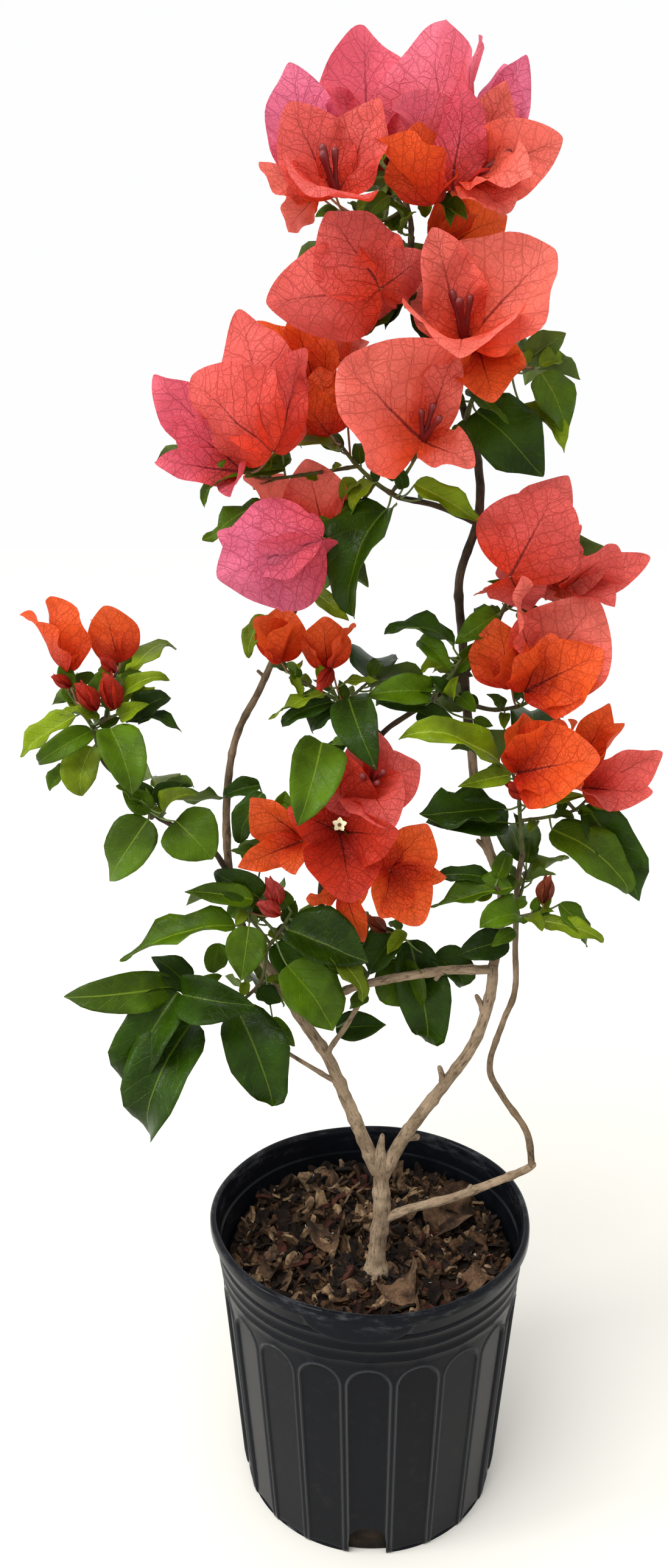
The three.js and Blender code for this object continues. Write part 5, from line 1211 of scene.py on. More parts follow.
class BUSH_OT_pot(bpy.types.Operator):
    """Model the fluted pot with its rings, its lip and its drain holes"""
    bl_idname = "bougainvillea.pot"
    bl_label = "Pot"

    # Steps round one flute; its width as a share of its pitch; the bead along its
    # edge; how the flute sinks; and the inner steps, which leave the rest to the edge
    STEPS = 44
    FLUTE_WIDTH = 0.84
    BEAD_HEIGHT = 1.2 * MM
    BEAD_WIDTH = 0.95 * MM
    BEAD_OFFSET = 0.7 * MM
    BEAD_RISE = 14 * MM
    SINK = 1.2 * MM
    SINK_WIDTH = 1.1 * MM
    EDGE_WIDTH = 0.13
    INNER_STEPS = 0.5

    # Millimetres: the foot of each ring ledge and the radius under it, the steps
    # up one ledge, the band round the lip, its rounding, and the way down inside
    LEDGES = ((204, 128.5), (215, 130.1), (227, 131.9))
    LEDGE_STEPS = ((-2.0, -0.6), (-0.6, 0.3), (0.3, 1.0), (1.6, 0.9), (3.0, 0.2))
    BAND = ((-3.6, -1.2), (-2.2, -0.6), (-0.4, 0.6), (0, 2), (0, 3.5), (0, 5.5), (0, 7.5))
    ROUNDING = ((-0.5, -1.4), (-1.6, -0.4), (-3.0, 0), (-4.6, -0.5), (-5.6, -1.8), (-6.4, -6))
    INSIDE = ((130.6, 240), (129.9, 229), (128.3, 227.5), (127.9, 217), (126.8, 215.5), (126.3, 206))

    # The middle and the foot of the lip's sag. The waves round the upper wall, each
    # with its count, its depth and its start, and where they set in.
    SAG_BEARING = math.radians(-4)
    SAG_FOOT = 236 * MM
    SAG_RISE = 5 * MM
    SAG_TOP = 7 * MM
    SAG_BULGE = 1.6 * MM
    BUCKLES = ((3, 0.8 * MM, 1), (7, 0.5 * MM, 0))
    BUCKLE_FOOT = 190 * MM
    BUCKLE_RISE = 50 * MM

    DRAIN_HOLE = (31 * MM, 36 * MM, 40 * MM)
    DRAIN_HEIGHT = 6 * MM
    DRAIN_ROUNDING = 13 * MM

    def execute(self, context):
        pot = context.scene.bush_pot
        piece = self.draw_up(pot)
        self.shape_walls(piece, pot)
        self.cut_drains(piece, pot)
        select_only(piece)
        bpy.ops.object.shade_smooth_by_angle(angle=math.radians(38))
        piece.data.materials.append(pot_plastic(context.scene.bush_colours))
        settle(piece, "pot_plastic", "pot")
        return {"FINISHED"}

    def body_radius(self, pot, height):
        share = height / (self.LEDGES[0][0] * MM)
        return pot.base_radius + (pot.shoulder_radius - pot.base_radius) * share

    def profile(self, pot):
        """Radius and height up the outside, over the lip and down the inside"""
        top = POT_BOX[1].z
        lip = POT_BOX[1].x
        lip_foot = top - pot.lip_height
        foot = [height * MM for height in (3, 6, 10, 15)]
        shaft = np.linspace(26 * MM, pot.flute_top - 20 * MM, 12)
        arches = np.arange(pot.flute_top - 19 * MM, pot.flute_top + 3 * MM, 0.9 * MM)
        outside = [(pot.base_radius - 0.3 * MM, 1.1 * MM)]
        outside += [(self.body_radius(pot, height), height) for height in (*foot, *shaft, *arches)]
        for height, radius in self.LEDGES:
            outside += [((radius + out) * MM, (height + lift) * MM) for lift, out in self.LEDGE_STEPS]
        outside += [(lip + out * MM, lip_foot + rise * MM) for out, rise in self.BAND]
        over = [(lip + out * MM, top + rise * MM) for out, rise in self.ROUNDING]
        down = [(radius * MM, height * MM) for radius, height in self.INSIDE]
        down += [(self.body_radius(pot, height) - pot.flute_depth - pot.wall, height)
                 for height in (200 * MM, 100 * MM, pot.wall)]
        return [*outside, *over, *down]

    def draw_up(self, pot):
        """A ring with its floor, drawn up step by step as by hand"""
        deselect_all()
        radius, height = pot.base_radius - 1.4 * MM, 0.0
        bpy.ops.mesh.primitive_circle_add(vertices=pot.flutes * self.STEPS, radius=radius, fill_type="NGON")
        piece = bpy.context.active_object
        piece.name = "fluted_pot"
        bpy.ops.object.mode_set(mode="EDIT")
        bpy.ops.mesh.select_all(action="SELECT")
        for next_radius, next_height in self.profile(pot):
            lift = (0, 0, next_height - height)
            bpy.ops.mesh.extrude_region_move(TRANSFORM_OT_translate={"value": lift})
            ratio = next_radius / radius
            bpy.ops.transform.resize(value=(ratio, ratio, 1), center_override=(0, 0, next_height))
            radius, height = next_radius, next_height
        bpy.ops.mesh.select_all(action="SELECT")
        bpy.ops.mesh.normals_make_consistent(inside=False)
        bpy.ops.object.mode_set(mode="OBJECT")
        return piece

    def shape_walls(self, piece, pot):
        """Sinks the flutes between their beaded edges, and lets the lip sag at the front"""
        count = len(piece.data.vertices)
        points = np.zeros(count * 3)
        piece.data.vertices.foreach_get("co", points)
        points = points.reshape(-1, 3)
        radius = np.hypot(points[:, 0], points[:, 1])
        height = points[:, 2]
        turn = np.arctan2(points[:, 0], -points[:, 1]) / (2 * np.pi) * pot.flutes
        flute = np.floor(turn + 0.5)
        offset = self.crowded(turn - flute)
        angle = (flute + offset) * 2 * np.pi / pot.flutes
        outer = radius > self.body_radius(pot, height) - 0.7 * MM
        fluted = outer & (height < pot.flute_top + 4 * MM)
        bead, sunk = self.flute_relief(pot, radius, height, offset)
        # Each point keeps its share of the bead's full height, which the finish uses to paint a highlight
        # along the bead
        wear_and_highlight = piece.data.attributes.new("bead", "FLOAT", "POINT")
        wear_and_highlight.data.foreach_set("value", np.where(fluted, bead / self.BEAD_HEIGHT, 0))
        radius = radius + np.where(fluted, bead - sunk, 0)
        drop, bulge = self.lip_sag(pot, radius, height, angle)
        height = height - np.where(outer, drop, 0)
        radius = radius + np.where(outer, bulge, 0)
        buckle = sum(depth * np.sin(waves * angle + start) for waves, depth, start in self.BUCKLES)
        radius = radius + buckle * np.clip((height - self.BUCKLE_FOOT) / self.BUCKLE_RISE, 0, 1)
        points = np.stack([radius * np.sin(angle), -radius * np.cos(angle), height], axis=1)
        piece.data.vertices.foreach_set("co", points.ravel())
        piece.data.update()

    def flute_relief(self, pot, radius, height, offset):
        """How far the bead stands out and the flute sinks in, at places round each flute"""
        half_pitch = np.pi / pot.flutes * radius
        half_width = self.FLUTE_WIDTH * half_pitch
        arch_foot = pot.flute_top - half_width
        beyond = np.hypot(offset * 2 * half_pitch, np.maximum(height - arch_foot, 0)) - half_width
        inward = np.clip(-beyond / self.SINK_WIDTH, 0, 1)
        flat = 1 - np.cos(self.FLUTE_WIDTH * np.pi / pot.flutes) / np.cos(offset * 2 * np.pi / pot.flutes)
        sunk = (self.SINK + radius * flat) * inward * inward * (3 - 2 * inward)
        bead = self.BEAD_HEIGHT * np.exp(-((beyond - self.BEAD_OFFSET) / self.BEAD_WIDTH) ** 2)
        return bead * np.clip(height / self.BEAD_RISE, 0, 1), sunk

    def lip_sag(self, pot, radius, height, angle):
        """How far the lip's band drops and bulges, round the middle of its sag"""
        reach = np.abs((angle - self.SAG_BEARING + np.pi) % (2 * np.pi) - np.pi) * radius
        sag = np.clip(1 - (2 * reach / pot.dent_width) ** 2, 0, 1) ** 0.6
        over_ledge = sag * np.clip((height - self.SAG_FOOT) / self.SAG_RISE, 0, 1)
        under_top = np.clip((POT_BOX[1].z - height) / self.SAG_TOP, 0.12, 1)
        return pot.dent_depth * over_ledge * under_top, self.SAG_BULGE * (2 * under_top - 1) * over_ledge

    def crowded(self, offset):
        """Moves the steps round a flute closer together at its edges"""
        share = np.abs(offset) * 2
        steps = self.INNER_STEPS
        middle = self.FLUTE_WIDTH - self.EDGE_WIDTH
        inner = share / steps * middle
        outer = middle + (share - steps) / (1 - steps) * (1 - middle)
        return np.sign(offset) * np.where(share < steps, inner, outer) / 2

    def cut_drains(self, piece, pot):
        """Cuts the arched holes through the foot of the wall"""
        for number in range(pot.drain_holes):
            deselect_all()
            angle = number * 2 * math.pi / pot.drain_holes
            radius = pot.base_radius
            place = (radius * math.sin(angle), -radius * math.cos(angle), self.DRAIN_HEIGHT)
            bpy.ops.mesh.primitive_cube_add(size=1, location=place, rotation=(0, 0, angle))
            cutter = bpy.context.active_object
            cutter.scale = self.DRAIN_HOLE
            bpy.ops.object.transform_apply(location=True, rotation=True, scale=True)
            bevel = cutter.modifiers.new("rounding", "BEVEL")
            bevel.width = self.DRAIN_ROUNDING
            bevel.segments = 7
            bpy.ops.object.modifier_apply(modifier=bevel.name)
            select_only(piece)
            cut = piece.modifiers.new("drain", "BOOLEAN")
            cut.object = cutter
            bpy.ops.object.modifier_apply(modifier=cut.name)
            bpy.data.objects.remove(cutter)


def soil_height(x, y, mix):
    """Height of the lumpy top of the potting mix"""
    coarse = noise.noise(Vector((x, y, 0)) * 38) * 5 * MM
    fine = noise.noise(Vector((x, y, 0.3)) * 110) * 3 * MM
    return mix.level + mix.rise * y + coarse + fine


class BUSH_OT_potting_mix(bpy.types.Operator):
    """Model the potting mix, with bark chips and leaf litter strewn over it"""
    bl_idname = "bougainvillea.potting_mix"
    bl_label = "Potting mix"

    # Each kind's share of the chips, and its dark and its light colour
    CHIP_KINDS = {
        "dark_chips": (0.46, (0.004, 0.0025, 0.002), (0.03, 0.016, 0.009)),
        "brown_chips": (0.3, (0.02, 0.01, 0.004), (0.13, 0.066, 0.03)),
        "tan_chips": (0.15, (0.09, 0.05, 0.025), (0.4, 0.26, 0.14)),
        "red_chips": (0.06, (0.04, 0.012, 0.007), (0.1, 0.032, 0.02)),
        "pale_grit": (0.04, (0.3, 0.28, 0.26), (0.7, 0.68, 0.65)),
    }
    CHIP_LENGTH = (6 * MM, 22 * MM)
    GRIT_LENGTH = (1.5 * MM, 4 * MM)
    SHORT_CHIPS = 0.88
    CHIP_STRETCH = 1.5
    CHIP_WIDTH = (0.25, 0.75)
    CHIP_BEND = (-0.5, 0.9)
    CHIP_THICKNESS = (0.06, 0.16)
    CHIP_LIFT = (0.5 * MM, 5.5 * MM)
    CHIP_TAPER = np.array([0.35, 0.85, 1, 0.8, 0.3])
    CHIP_TURNS = {"X": (-1.1, 1.1), "Y": (-0.9, 0.9), "Z": (0, 6.28)}
    LITTER_REACH = (9 * MM, 23 * MM)
    LITTER_LIFT = (1 * MM, 5 * MM)
    LITTER_SLOPE = (-0.3, 0.3)
    LITTER_LEAN = (-0.6, 0.6)
    LITTER_WIDTH = (0.5, 0.9)
    LITTER_GRID = (14, 11)
    BODY_SIDES = 96
    BODY_BOTTOM = 0.6 * MM
    BODY_FOOT = 0.858

    def execute(self, context):
        mix = context.scene.bush_mix
        colours = context.scene.bush_colours
        body = self.mix_body(mix)
        damp_mix = rough_matter("damp_mix", colours.soil_dark, colours.soil_light, 60, 0.8 * MM)
        body.data.materials.append(damp_mix)
        settle(body, "potting_mix", "potting_mix")
        for name, shape in self.strewn(mix).items():
            dark, light = self.CHIP_KINDS[name][1:]
            chips = shape.piece(name, [rough_matter(name, dark, light, 130, 0.5 * MM)])
            select_only(chips)
            bpy.ops.object.shade_flat()
            settle(chips, "potting_mix")
        litter = self.fallen_leaves(mix)
        litter.data.materials.append(rough_matter("dead_leaf", *DEAD_LEAF_TINT, 55, 0.4 * MM))
        settle(litter, "potting_mix")
        return {"FINISHED"}

    def fallen_leaves(self, mix):
        """Curled dead leaves, half sunk in the mix"""
        chance = chances(mix.seed + 3)
        shape = Shape()
        for _ in range(mix.litter):
            radius = (SOIL_BOX[1].x - 24 * MM) * math.sqrt(next(chance))
            angle = 2 * math.pi * next(chance)
            middle = np.array([radius * math.cos(angle), radius * math.sin(angle), 0])
            middle[2] = soil_height(*middle[:2], mix) + within(self.LITTER_LIFT, chance)
            bearing = 2 * math.pi * next(chance)
            reach = within(self.LITTER_REACH, chance)
            slope = within(self.LITTER_SLOPE, chance)
            half = reach * np.array([math.cos(bearing), math.sin(bearing), slope])
            up = np.array([within(self.LITTER_LEAN, chance), within(self.LITTER_LEAN, chance), 1])
            width = within(self.LITTER_WIDTH, chance)
            looks = picked(DEAD_LEAF_LOOKS, chance)
            leaf = Blade(
                middle - half, middle + half, up, width, "dead", chance,
                shape=DEAD_LEAF_SHAPE, ripple=0.1, crumple=0.25, **looks,
            )
            shape.add_sheet(*leaf.grid(*self.LITTER_GRID), *self.LITTER_GRID)
        return shape.piece("leaf_litter", [], "blade")

    def mix_body(self, mix):
        """A block that fills the pot under a lumpy top"""
        top = SOIL_BOX[1].x
        foot = -self.BODY_FOOT * SOIL_BOX[0].x
        bottom = self.BODY_BOTTOM
        angles = np.linspace(0, 2 * np.pi, self.BODY_SIDES, endpoint=False)
        round_way = np.stack([np.cos(angles), np.sin(angles)], axis=1)
        floor = np.full(self.BODY_SIDES, bottom)
        rings = [np.column_stack([round_way * radius, floor]) for radius in (1 * MM, foot)]
        for share in np.linspace(0.05, 1, 22):
            radius = foot + (top - foot) * share
            lumps = np.array([noise.noise(Vector((*way * 9, share * 18))) for way in round_way])
            flat = round_way * (radius - np.abs(lumps) * 2.5 * MM)[:, None]
            level = mix.level - 6 * MM + mix.rise * flat[:, 1]
            rings.append(np.column_stack([flat, bottom + (level - bottom) * share]))
        for radius in np.linspace(top, 1 * MM, 40):
            flat = round_way * radius
            heights = [soil_height(x, y, mix) for x, y in flat]
            rings.append(np.column_stack([flat, heights]))
        shape = Shape()
        rings = np.array(rings)
        shape.add_rings(rings, rings)
        return shape.piece("potting_mix_body", [])

    def strewn(self, mix):
        """Chips of each kind, lying at chance angles on the mix"""
        chance = chances(mix.seed)
        shapes = defaultdict(Shape)
        names = list(self.CHIP_KINDS)
        shares = np.cumsum([self.CHIP_KINDS[name][0] for name in names])
        for _ in range(mix.chips):
            name = names[int(np.searchsorted(shares, next(chance) * shares[-1]))]
            radius = SOIL_BOX[1].x * math.sqrt(next(chance)) - 3 * MM
            angle = 2 * math.pi * next(chance)
            x, y = radius * math.cos(angle), radius * math.sin(angle)
            length = within(self.CHIP_LENGTH, chance)
            if next(chance) > self.SHORT_CHIPS:
                length *= self.CHIP_STRETCH
            if name == "pale_grit":
                length = within(self.GRIT_LENGTH, chance)
            self.add_chip(shapes[name], (x, y, soil_height(x, y, mix)), length, chance)
        return shapes

    def add_chip(self, shape, place, length, chance):
        """One ragged flake: a bent plate with a chance outline"""
        columns = len(self.CHIP_TAPER)
        along = np.linspace(-0.5, 0.5, columns)
        width = within(self.CHIP_WIDTH, chance)
        ragged = np.array([next(chance) for _ in range(columns * 2)]).reshape(2, columns)
        taper = self.CHIP_TAPER * width / 2
        bend = within(self.CHIP_BEND, chance)
        rows = [taper * (0.5 + ragged[0]), -taper * (0.5 + ragged[1])]
        top = [np.column_stack([along, row, bend * (along**2 + row**2)]) for row in rows]
        points = np.vstack([top[0], top[1]])
        thick = within(self.CHIP_THICKNESS, chance)
        points = np.vstack([points, points - np.array([0, 0, thick])]) * length
        spin = Matrix.Identity(3)
        for axis, limits in self.CHIP_TURNS.items():
            spin = Matrix.Rotation(within(limits, chance), 3, axis) @ spin
        points = points @ np.array(spin).T + place + UP * within(self.CHIP_LIFT, chance)
        radius = np.hypot(points[:, 0], points[:, 1]).max()
        reach = SOIL_BOX[1].x - 0.5 * MM
        if radius > reach:
            points[:, :2] *= reach / radius
        faces = []
        last = 2 * columns
        for column in range(columns - 1):
            a, b, c, d = column, column + 1, column + columns, column + columns + 1
            faces += [[c, d, b, a], [last + a, last + b, last + d, last + c]]
            faces += [[a, b, last + b, last + a], [d, c, last + c, last + d]]
        end = columns - 1
        faces += [[0, last, last + columns, columns], [end + columns, last + end + columns, last + end, end]]
        shape.add(points, faces, points)


def round_path(places, sides):
    """Angles round a row of places, and the way outwards at each place and angle"""
    _, side, other = frames_along(places)
    angles = np.linspace(0, 2 * np.pi, sides, endpoint=False)
    return angles, side[:, None] * np.cos(angles)[:, None] + other[:, None] * np.sin(angles)[:, None]


def fibre_map(radius, angles, marks):
    """Where each point of a tube lies on the bark's own map, which is stretched along the limb"""
    rows = radius[:, None] * np.cos(angles), radius[:, None] * np.sin(angles), marks[:, None] * FIBRE_STRETCH
    return np.stack(np.broadcast_arrays(*rows), axis=-1)


def swollen(radius, marks, spacing, swelling, reach):
    """Radii that swell a little at evenly spaced joints"""
    joint = np.abs((marks / spacing) % 1 - 0.5) * spacing
    return radius * (1 + swelling * np.exp(-(joint / reach) ** 2))


class BUSH_OT_limbs(bpy.types.Operator):
    """Model the trunk and the boughs, each with its bark's relief and its snags"""
    bl_idname = "bougainvillea.limbs"
    bl_label = "Trunk and boughs"

    SIDES = 24
    STEP = 1.5 * MM
    JOINT_SPACING = 34 * MM
    JOINT_REACH = 3 * MM
    JOINT_SWELLING = 0.13
    TRUNK_FOOT = 206 * MM
    TRUNK_FLARE = 3.5 * MM
    FLARE_REACH = 9 * MM
    TIP_TAPER = 0.6
    LUMPS = 0.10
    LUMP_SCALE = 140
    FIBRES = 0.09
    FIBRE_SCALE = 500
    SNAG_SIDES = 12
    SNAG_ROUGHNESS = 1.4
    SNAG_TAPER = np.array([1.0, 0.95, 0.78, 0.64, 0.58, 0.55, 0.52, 0.5, 0.32])
    BROWN_LIMBS = ("left_riser", "vine_riser")

    def execute(self, context):
        colours = context.scene.bush_colours
        barks = {
            "old_bark": bark("old_bark", colours.old_dark, colours.old_light, 0.85),
            "young_bark": bark("young_bark", colours.young_dark, colours.young_light, 0.6),
        }
        brown = bark("brown_bark", colours.young_light, shade(colours.old_dark, 1.3), 0.75)
        for name, limb in LIMBS.items():
            shape = Shape()
            path = Path([seen(place) for place in limb.route])
            self.add_limb(shape, path, np.array(limb.radii) * MM, name)
            for share, bearing, length in limb.snags:
                self.add_snag(shape, path, limb, share, bearing, length * MM)
            skin = brown if name in self.BROWN_LIMBS else barks[limb.bark]
            settle(shape.piece(name + "_bark", [skin]), limb.bark, name)
        return {"FINISHED"}

    def add_limb(self, shape, path, radii, name):
        count = int(path.length / self.STEP)
        shares = np.linspace(0, 1, count)
        places = path.at(shares)
        radius = np.interp(shares, np.linspace(0, 1, len(radii)), radii)
        marks = shares * path.length
        if name == "trunk":
            above_foot = (places[:, 2] - self.TRUNK_FOOT) / self.FLARE_REACH
            radius = radius + self.TRUNK_FLARE * np.exp(-above_foot ** 2)
        radius = swollen(radius, marks, self.JOINT_SPACING, self.JOINT_SWELLING, self.JOINT_REACH)
        radius[-1] *= self.TIP_TAPER
        self.add_tube(shape, places, radius, self.SIDES, 1.0)

    def add_snag(self, shape, path, limb, share, bearing, length):
        """A cut or broken stub that leans a little towards the limb's tip"""
        foot = path.at(share)
        ahead = unit(path.at(min(share + 0.02, 1)) - foot)
        radius = np.interp(share, np.linspace(0, 1, len(limb.radii)), limb.radii) * MM
        way = unit(heading(bearing) + 0.25 * ahead)
        places = foot + way * np.linspace(0, radius + length, len(self.SNAG_TAPER))[:, None]
        self.add_tube(shape, places, self.SNAG_TAPER * radius, self.SNAG_SIDES, self.SNAG_ROUGHNESS)

    def add_tube(self, shape, places, radius, sides, roughness):
        """A tube with lumps and fibres in its skin"""
        angles, round_way = round_path(places, sides)
        marks = np.concatenate([[0], np.cumsum(np.linalg.norm(np.diff(places, axis=0), axis=1))])
        around = fibre_map(radius, angles, marks)
        skin = places[:, None] + round_way * radius[:, None, None]
        lumps = [
            self.LUMPS * noise.noise(Vector(place) * self.LUMP_SCALE)
            + self.FIBRES * noise.noise(Vector(fibre) * self.FIBRE_SCALE)
            for place, fibre in zip(skin.reshape(-1, 3), around.reshape(-1, 3))
        ]
        lumps = np.array(lumps).reshape(skin.shape[:2]) * roughness * radius[:, None]
        skin = skin + round_way * lumps[..., None]
        shape.add_rings(skin, around)


class BUSH_OT_twigs(bpy.types.Operator):
    """Grow the shoots and the stalks of leaves and blooms"""
    bl_idname = "bougainvillea.twigs"
    bl_label = "Shoots and stalks"

    SIDES = 8
    STEP = 2.5 * MM
    JOINT_SPACING = 17 * MM
    JOINT_REACH = 1.6 * MM

    def execute(self, context):
        colours = context.scene.bush_colours
        plant = grown_plant()
        shoot_skin = bark("shoot_skin", colours.young_light, colours.shoot, 0.5)
        leaf_stalk_skin = stalk_finish("leaf_stalk_skin", colours.shoot, 0.45)
        bloom_stalk_skin = stalk_finish("bloom_stalk_skin", colours.bloom_stalk, 0.5)
        for kind, slot, skin, swelling in (
            ("shoots", "young_bark", shoot_skin, 0.25),
            ("leaf_stalks", "foliage", leaf_stalk_skin, 0.0),
            ("bloom_stalks", "flowering_foliage", bloom_stalk_skin, 0.0),
        ):
            shape = Shape()
            for path, radii in plant.twigs[kind]:
                self.add_twig(shape, path, radii, swelling)
            settle(shape.piece(kind, [skin]), slot)
        return {"FINISHED"}

    def add_twig(self, shape, path, radii, swelling):
        """A smooth tube, swollen a little where leaves leave it"""
        shares = np.linspace(0, 1, max(4, int(path.length / self.STEP)))
        places = path.at(shares)
        marks = shares * path.length
        radius = np.interp(shares, np.linspace(0, 1, len(radii)), radii)
        radius = swollen(radius, marks, self.JOINT_SPACING, swelling, self.JOINT_REACH)
        angles, round_way = round_path(places, self.SIDES)
        skin = places[:, None] + round_way * radius[:, None, None]
        shape.add_rings(skin, fibre_map(radius, angles, marks))


def sheets(blades, tint_name, rows, columns):
    """All the blades of one tint, in one shape"""
    shape = Shape()
    for blade in blades:
        if blade.tint == tint_name:
            shape.add_sheet(*blade.grid(rows, columns), rows, columns)
    return shape


class BUSH_OT_leaves(bpy.types.Operator):
    """Grow the leaves, each a folded blade with a paler underside"""
    bl_idname = "bougainvillea.leaves"
    bl_label = "Leaves"

    ROWS = 15
    COLUMNS = 9
    THICKNESS = 0.35 * MM

    def execute(self, context):
        plant = grown_plant()
        underside = leaf_finish("leaf_underside", *UNDERSIDE_TINT)
        masses = [name for name in MASSES if name.endswith("leaves")]
        for tint_name, (face, rib, roughness) in LEAF_TINTS.items():
            shape = sheets(plant.leaves, tint_name, self.ROWS, self.COLUMNS)
            material = leaf_finish(f"leaf_{tint_name}", face, rib, roughness)
            piece = shape.piece(f"leaves_{tint_name}", [material, underside], "blade")
            select_only(piece)
            solid = piece.modifiers.new("thickness", "SOLIDIFY")
            solid.thickness = self.THICKNESS
            solid.offset = 1
            solid.material_offset = 1
            bpy.ops.object.modifier_apply(modifier=solid.name)
            settle(piece, "foliage", *masses)
        return {"FINISHED"}


class BUSH_OT_bracts(bpy.types.Operator):
    """Grow the papery bracts"""
    bl_idname = "bougainvillea.bracts"
    bl_label = "Bracts"

    ROWS = 26
    COLUMNS = 19

    def execute(self, context):
        plant = grown_plant()
        masses = [name for name in MASSES if name.endswith("flowers")]
        for tint_name, colours in BRACT_TINTS.items():
            shape = sheets(plant.bracts, tint_name, self.ROWS, self.COLUMNS)
            material = bract_finish(f"bract_{tint_name}", *colours)
            settle(shape.piece(f"bracts_{tint_name}", [material], "blade"), "flowering_foliage", *masses)
        return {"FINISHED"}


class BUSH_OT_flowers(bpy.types.Operator):
    """Grow the slender flower tubes inside the bracts, and the stars that have opened"""
    bl_idname = "bougainvillea.flowers"
    bl_label = "Flower tubes"

    # A tube's half width at shares of its length, and how thick it is for its length
    PROFILE = (
        (0, 0.5), (0.06, 0.95), (0.22, 1.0), (0.42, 0.72), (0.6, 0.66), (0.82, 0.95), (0.94, 1.05), (1, 0.6),
    )
    TUBE_SIDES = 10
    TUBE_THICKNESS = 0.075
    RIDGES = 5
    STAR_RADIUS = 4.6 * MM
    STAR_STEPS = 20
    LOBES = 5

    def execute(self, context):
        plant = grown_plant()
        shape = Shape()
        shares, radii = np.array(self.PROFILE).T
        angles = np.linspace(0, 2 * np.pi, self.TUBE_SIDES, endpoint=False)
        ridges = 1 + 0.12 * np.cos(self.RIDGES * angles)
        for foot, direction, length in plant.tubes:
            side = square_to(direction, np.array([0.2, 0.1, 0.97]))
            other = np.cross(direction, side)
            round_way = np.outer(np.cos(angles) * ridges, side) + np.outer(np.sin(angles) * ridges, other)
            thick = max(self.TUBE_THICKNESS * length, 1 * MM)
            middle = foot + direction * (shares * length)[:, None]
            rings = middle[:, None] + round_way * (radii * thick)[:, None, None]
            shape.add_rings(rings, rings)
        skin = stalk_finish("flower_tube_skin", context.scene.bush_colours.tube, 0.5)
        settle(shape.piece("flower_tubes", [skin]), "flowering_foliage")
        self.open_stars(plant.stars)
        return {"FINISHED"}

    def open_stars(self, stars):
        """Cream stars of five lobes with a dark throat"""
        shape = Shape()
        angles = np.linspace(0, 2 * np.pi, self.STAR_STEPS + 1)
        shares = np.linspace(0.05, 1, 6)[:, None]
        reach = shares * (1 + 0.22 * shares * np.cos(self.LOBES * angles)) * self.STAR_RADIUS
        rise = 0.5 * self.STAR_RADIUS * shares**2
        for place, way in stars:
            side = square_to(way, np.array([1, 0, 0.3]))
            other = np.cross(way, side)
            sheet = place + (
                (reach * np.cos(angles))[..., None] * side + (reach * np.sin(angles))[..., None] * other
                + np.broadcast_to(rise, reach.shape)[..., None] * way
            )
            places = np.stack([np.broadcast_to(shares, reach.shape), np.zeros_like(reach)], axis=-1)
            shape.add_sheet(sheet.reshape(-1, 3), places.reshape(-1, 2), len(shares), len(angles))
        finish = Finish("star_petal")
        outward = finish.add("SeparateXYZ", {0: finish.add("UVMap", uv_map="Blade").outputs[0]}).outputs[0]
        finish.surface(
            base_color=finish.blend(finish.fade(outward, 0.25, 0.42), STAR_THROAT, STAR_PETAL),
            roughness=0.5,
        )
        settle(shape.piece("open_flowers", [finish.material], "blade"), "flowering_foliage")


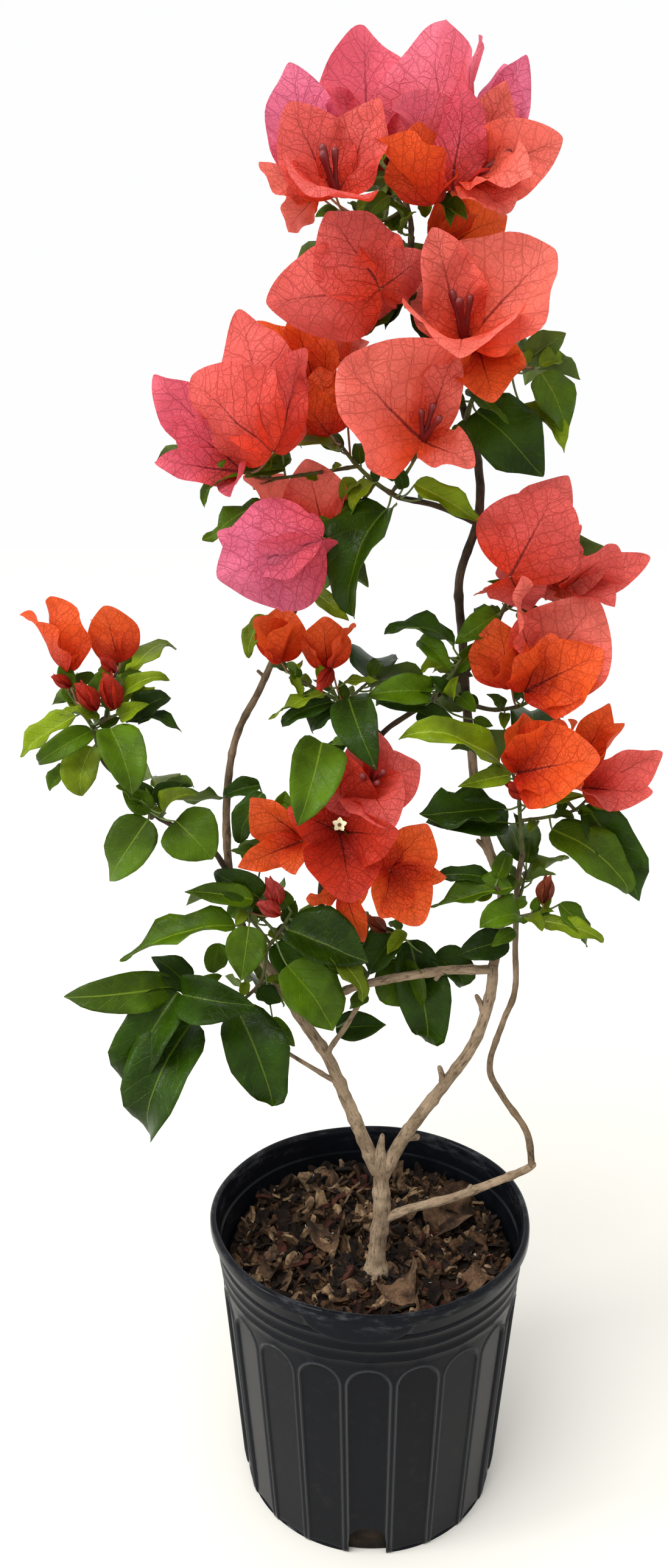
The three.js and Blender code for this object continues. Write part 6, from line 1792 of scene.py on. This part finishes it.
class BUSH_OT_stage(bpy.types.Operator):
    """Set the pale floor, the soft light and the camera"""
    bl_idname = "bougainvillea.stage"
    bl_label = "Stage"

    # Each lamp's place, watts and width, in metres
    LAMPS = {"overhead": ((-0.7, -1.1, 2.7), 44, 1.4), "left_fill": ((-2.2, -0.7, 1.2), 24, 0.6)}
    AIM = Vector((0, 0, 0.6))
    SKY_TURN = (math.radians(25), math.radians(-20), 0)
    SKY_POWER = 0.45
    SKY_WIDTH = math.radians(70)
    # The floor's colour near the pot and far off. It grows paler with distance. This is painted light that
    # evens out the lamps' pool, so the far floor meets the white sky with no seam. The cream near the pot is
    # the floor's own tone.
    FLOOR_NEAR = (0.76, 0.74, 0.68)
    FLOOR_FAR_PAINTED_LIGHT = (0.9, 0.9, 0.89)

    def execute(self, context):
        self.lay_floor()
        self.light_up(context.scene)
        self.place_camera(context.scene)
        return {"FINISHED"}

    def lay_floor(self):
        deselect_all()
        bpy.ops.mesh.primitive_plane_add(size=30, location=(0, 0, 0))
        floor = bpy.context.active_object
        floor.name = "floor"
        finish = Finish("pale_floor")
        place = finish.add("TexCoord").outputs["Object"]
        distance = finish.add("VectorMath", {0: place}, operation="LENGTH").outputs["Value"]
        # Painted light: the floor is paler further from the pot, where the lamps reach less
        colour = finish.blend(finish.fade(distance, 0.3, 2.5), self.FLOOR_NEAR, self.FLOOR_FAR_PAINTED_LIGHT)
        finish.surface(base_color=colour, roughness=0.8)
        floor.data.materials.append(finish.material)

    def light_up(self, scene):
        world = bpy.data.worlds.new("soft_daylight")
        world.use_nodes = True
        background = world.node_tree.nodes["Background"]
        background.inputs["Color"].default_value = (0.99, 0.99, 0.995, 1)
        background.inputs["Strength"].default_value = 1.0
        scene.world = world
        for name, (place, power, reach) in self.LAMPS.items():
            deselect_all()
            bpy.ops.object.light_add(type="AREA", location=place)
            lamp = bpy.context.active_object
            lamp.name = name
            lamp.data.energy = power
            lamp.data.size = reach
            lamp.rotation_euler = (self.AIM - Vector(place)).to_track_quat("-Z", "Y").to_euler()
        deselect_all()
        bpy.ops.object.light_add(type="SUN", location=(0, 0, 3), rotation=self.SKY_TURN)
        sky = bpy.context.active_object
        sky.name = "soft_sky"
        sky.data.energy = self.SKY_POWER
        sky.data.angle = self.SKY_WIDTH

    def place_camera(self, scene):
        deselect_all()
        turn = (math.radians(90 + EYE_PITCH), 0, math.radians(EYE_YAW))
        bpy.ops.object.camera_add(location=EYE, rotation=turn)
        camera = bpy.context.active_object
        camera.name = "viewer"
        camera.data.lens = EYE_LENS
        camera.data.sensor_width = 36
        scene.camera = camera
        scene.view_settings.view_transform = "Standard"


PIECES = (
    BUSH_OT_pot, BUSH_OT_potting_mix, BUSH_OT_limbs, BUSH_OT_twigs, BUSH_OT_leaves, BUSH_OT_bracts,
    BUSH_OT_flowers, BUSH_OT_stage,
)


class BUSH_PT_panel(bpy.types.Panel):
    """Lists the pieces of the bush and its settings"""
    bl_idname = "BUSH_PT_panel"
    bl_label = "Bougainvillea"
    bl_space_type = "VIEW_3D"
    bl_region_type = "UI"
    bl_category = "Bougainvillea"

    def draw(self, context):
        for group in (context.scene.bush_pot, context.scene.bush_mix, context.scene.bush_colours):
            box = self.layout.box()
            for name in group.__annotations__:
                box.prop(group, name)
        for piece in PIECES:
            self.layout.operator(piece.bl_idname)


CLASSES = (PotSizes, MixSizes, PlantColours, *PIECES, BUSH_PT_panel)


def register():
    for item in CLASSES:
        bpy.utils.register_class(item)
    bpy.types.Scene.bush_pot = bpy.props.PointerProperty(type=PotSizes)
    bpy.types.Scene.bush_mix = bpy.props.PointerProperty(type=MixSizes)
    bpy.types.Scene.bush_colours = bpy.props.PointerProperty(type=PlantColours)


def unregister():
    del bpy.types.Scene.bush_pot, bpy.types.Scene.bush_mix, bpy.types.Scene.bush_colours
    for item in reversed(CLASSES):
        bpy.utils.unregister_class(item)


def main():
    """Builds every piece"""
    register()
    bpy.ops.bougainvillea.pot()
    bpy.ops.bougainvillea.potting_mix()
    bpy.ops.bougainvillea.limbs()
    bpy.ops.bougainvillea.twigs()
    bpy.ops.bougainvillea.leaves()
    bpy.ops.bougainvillea.bracts()
    bpy.ops.bougainvillea.flowers()
    bpy.ops.bougainvillea.stage()


if __name__ == "__main__":
    main()
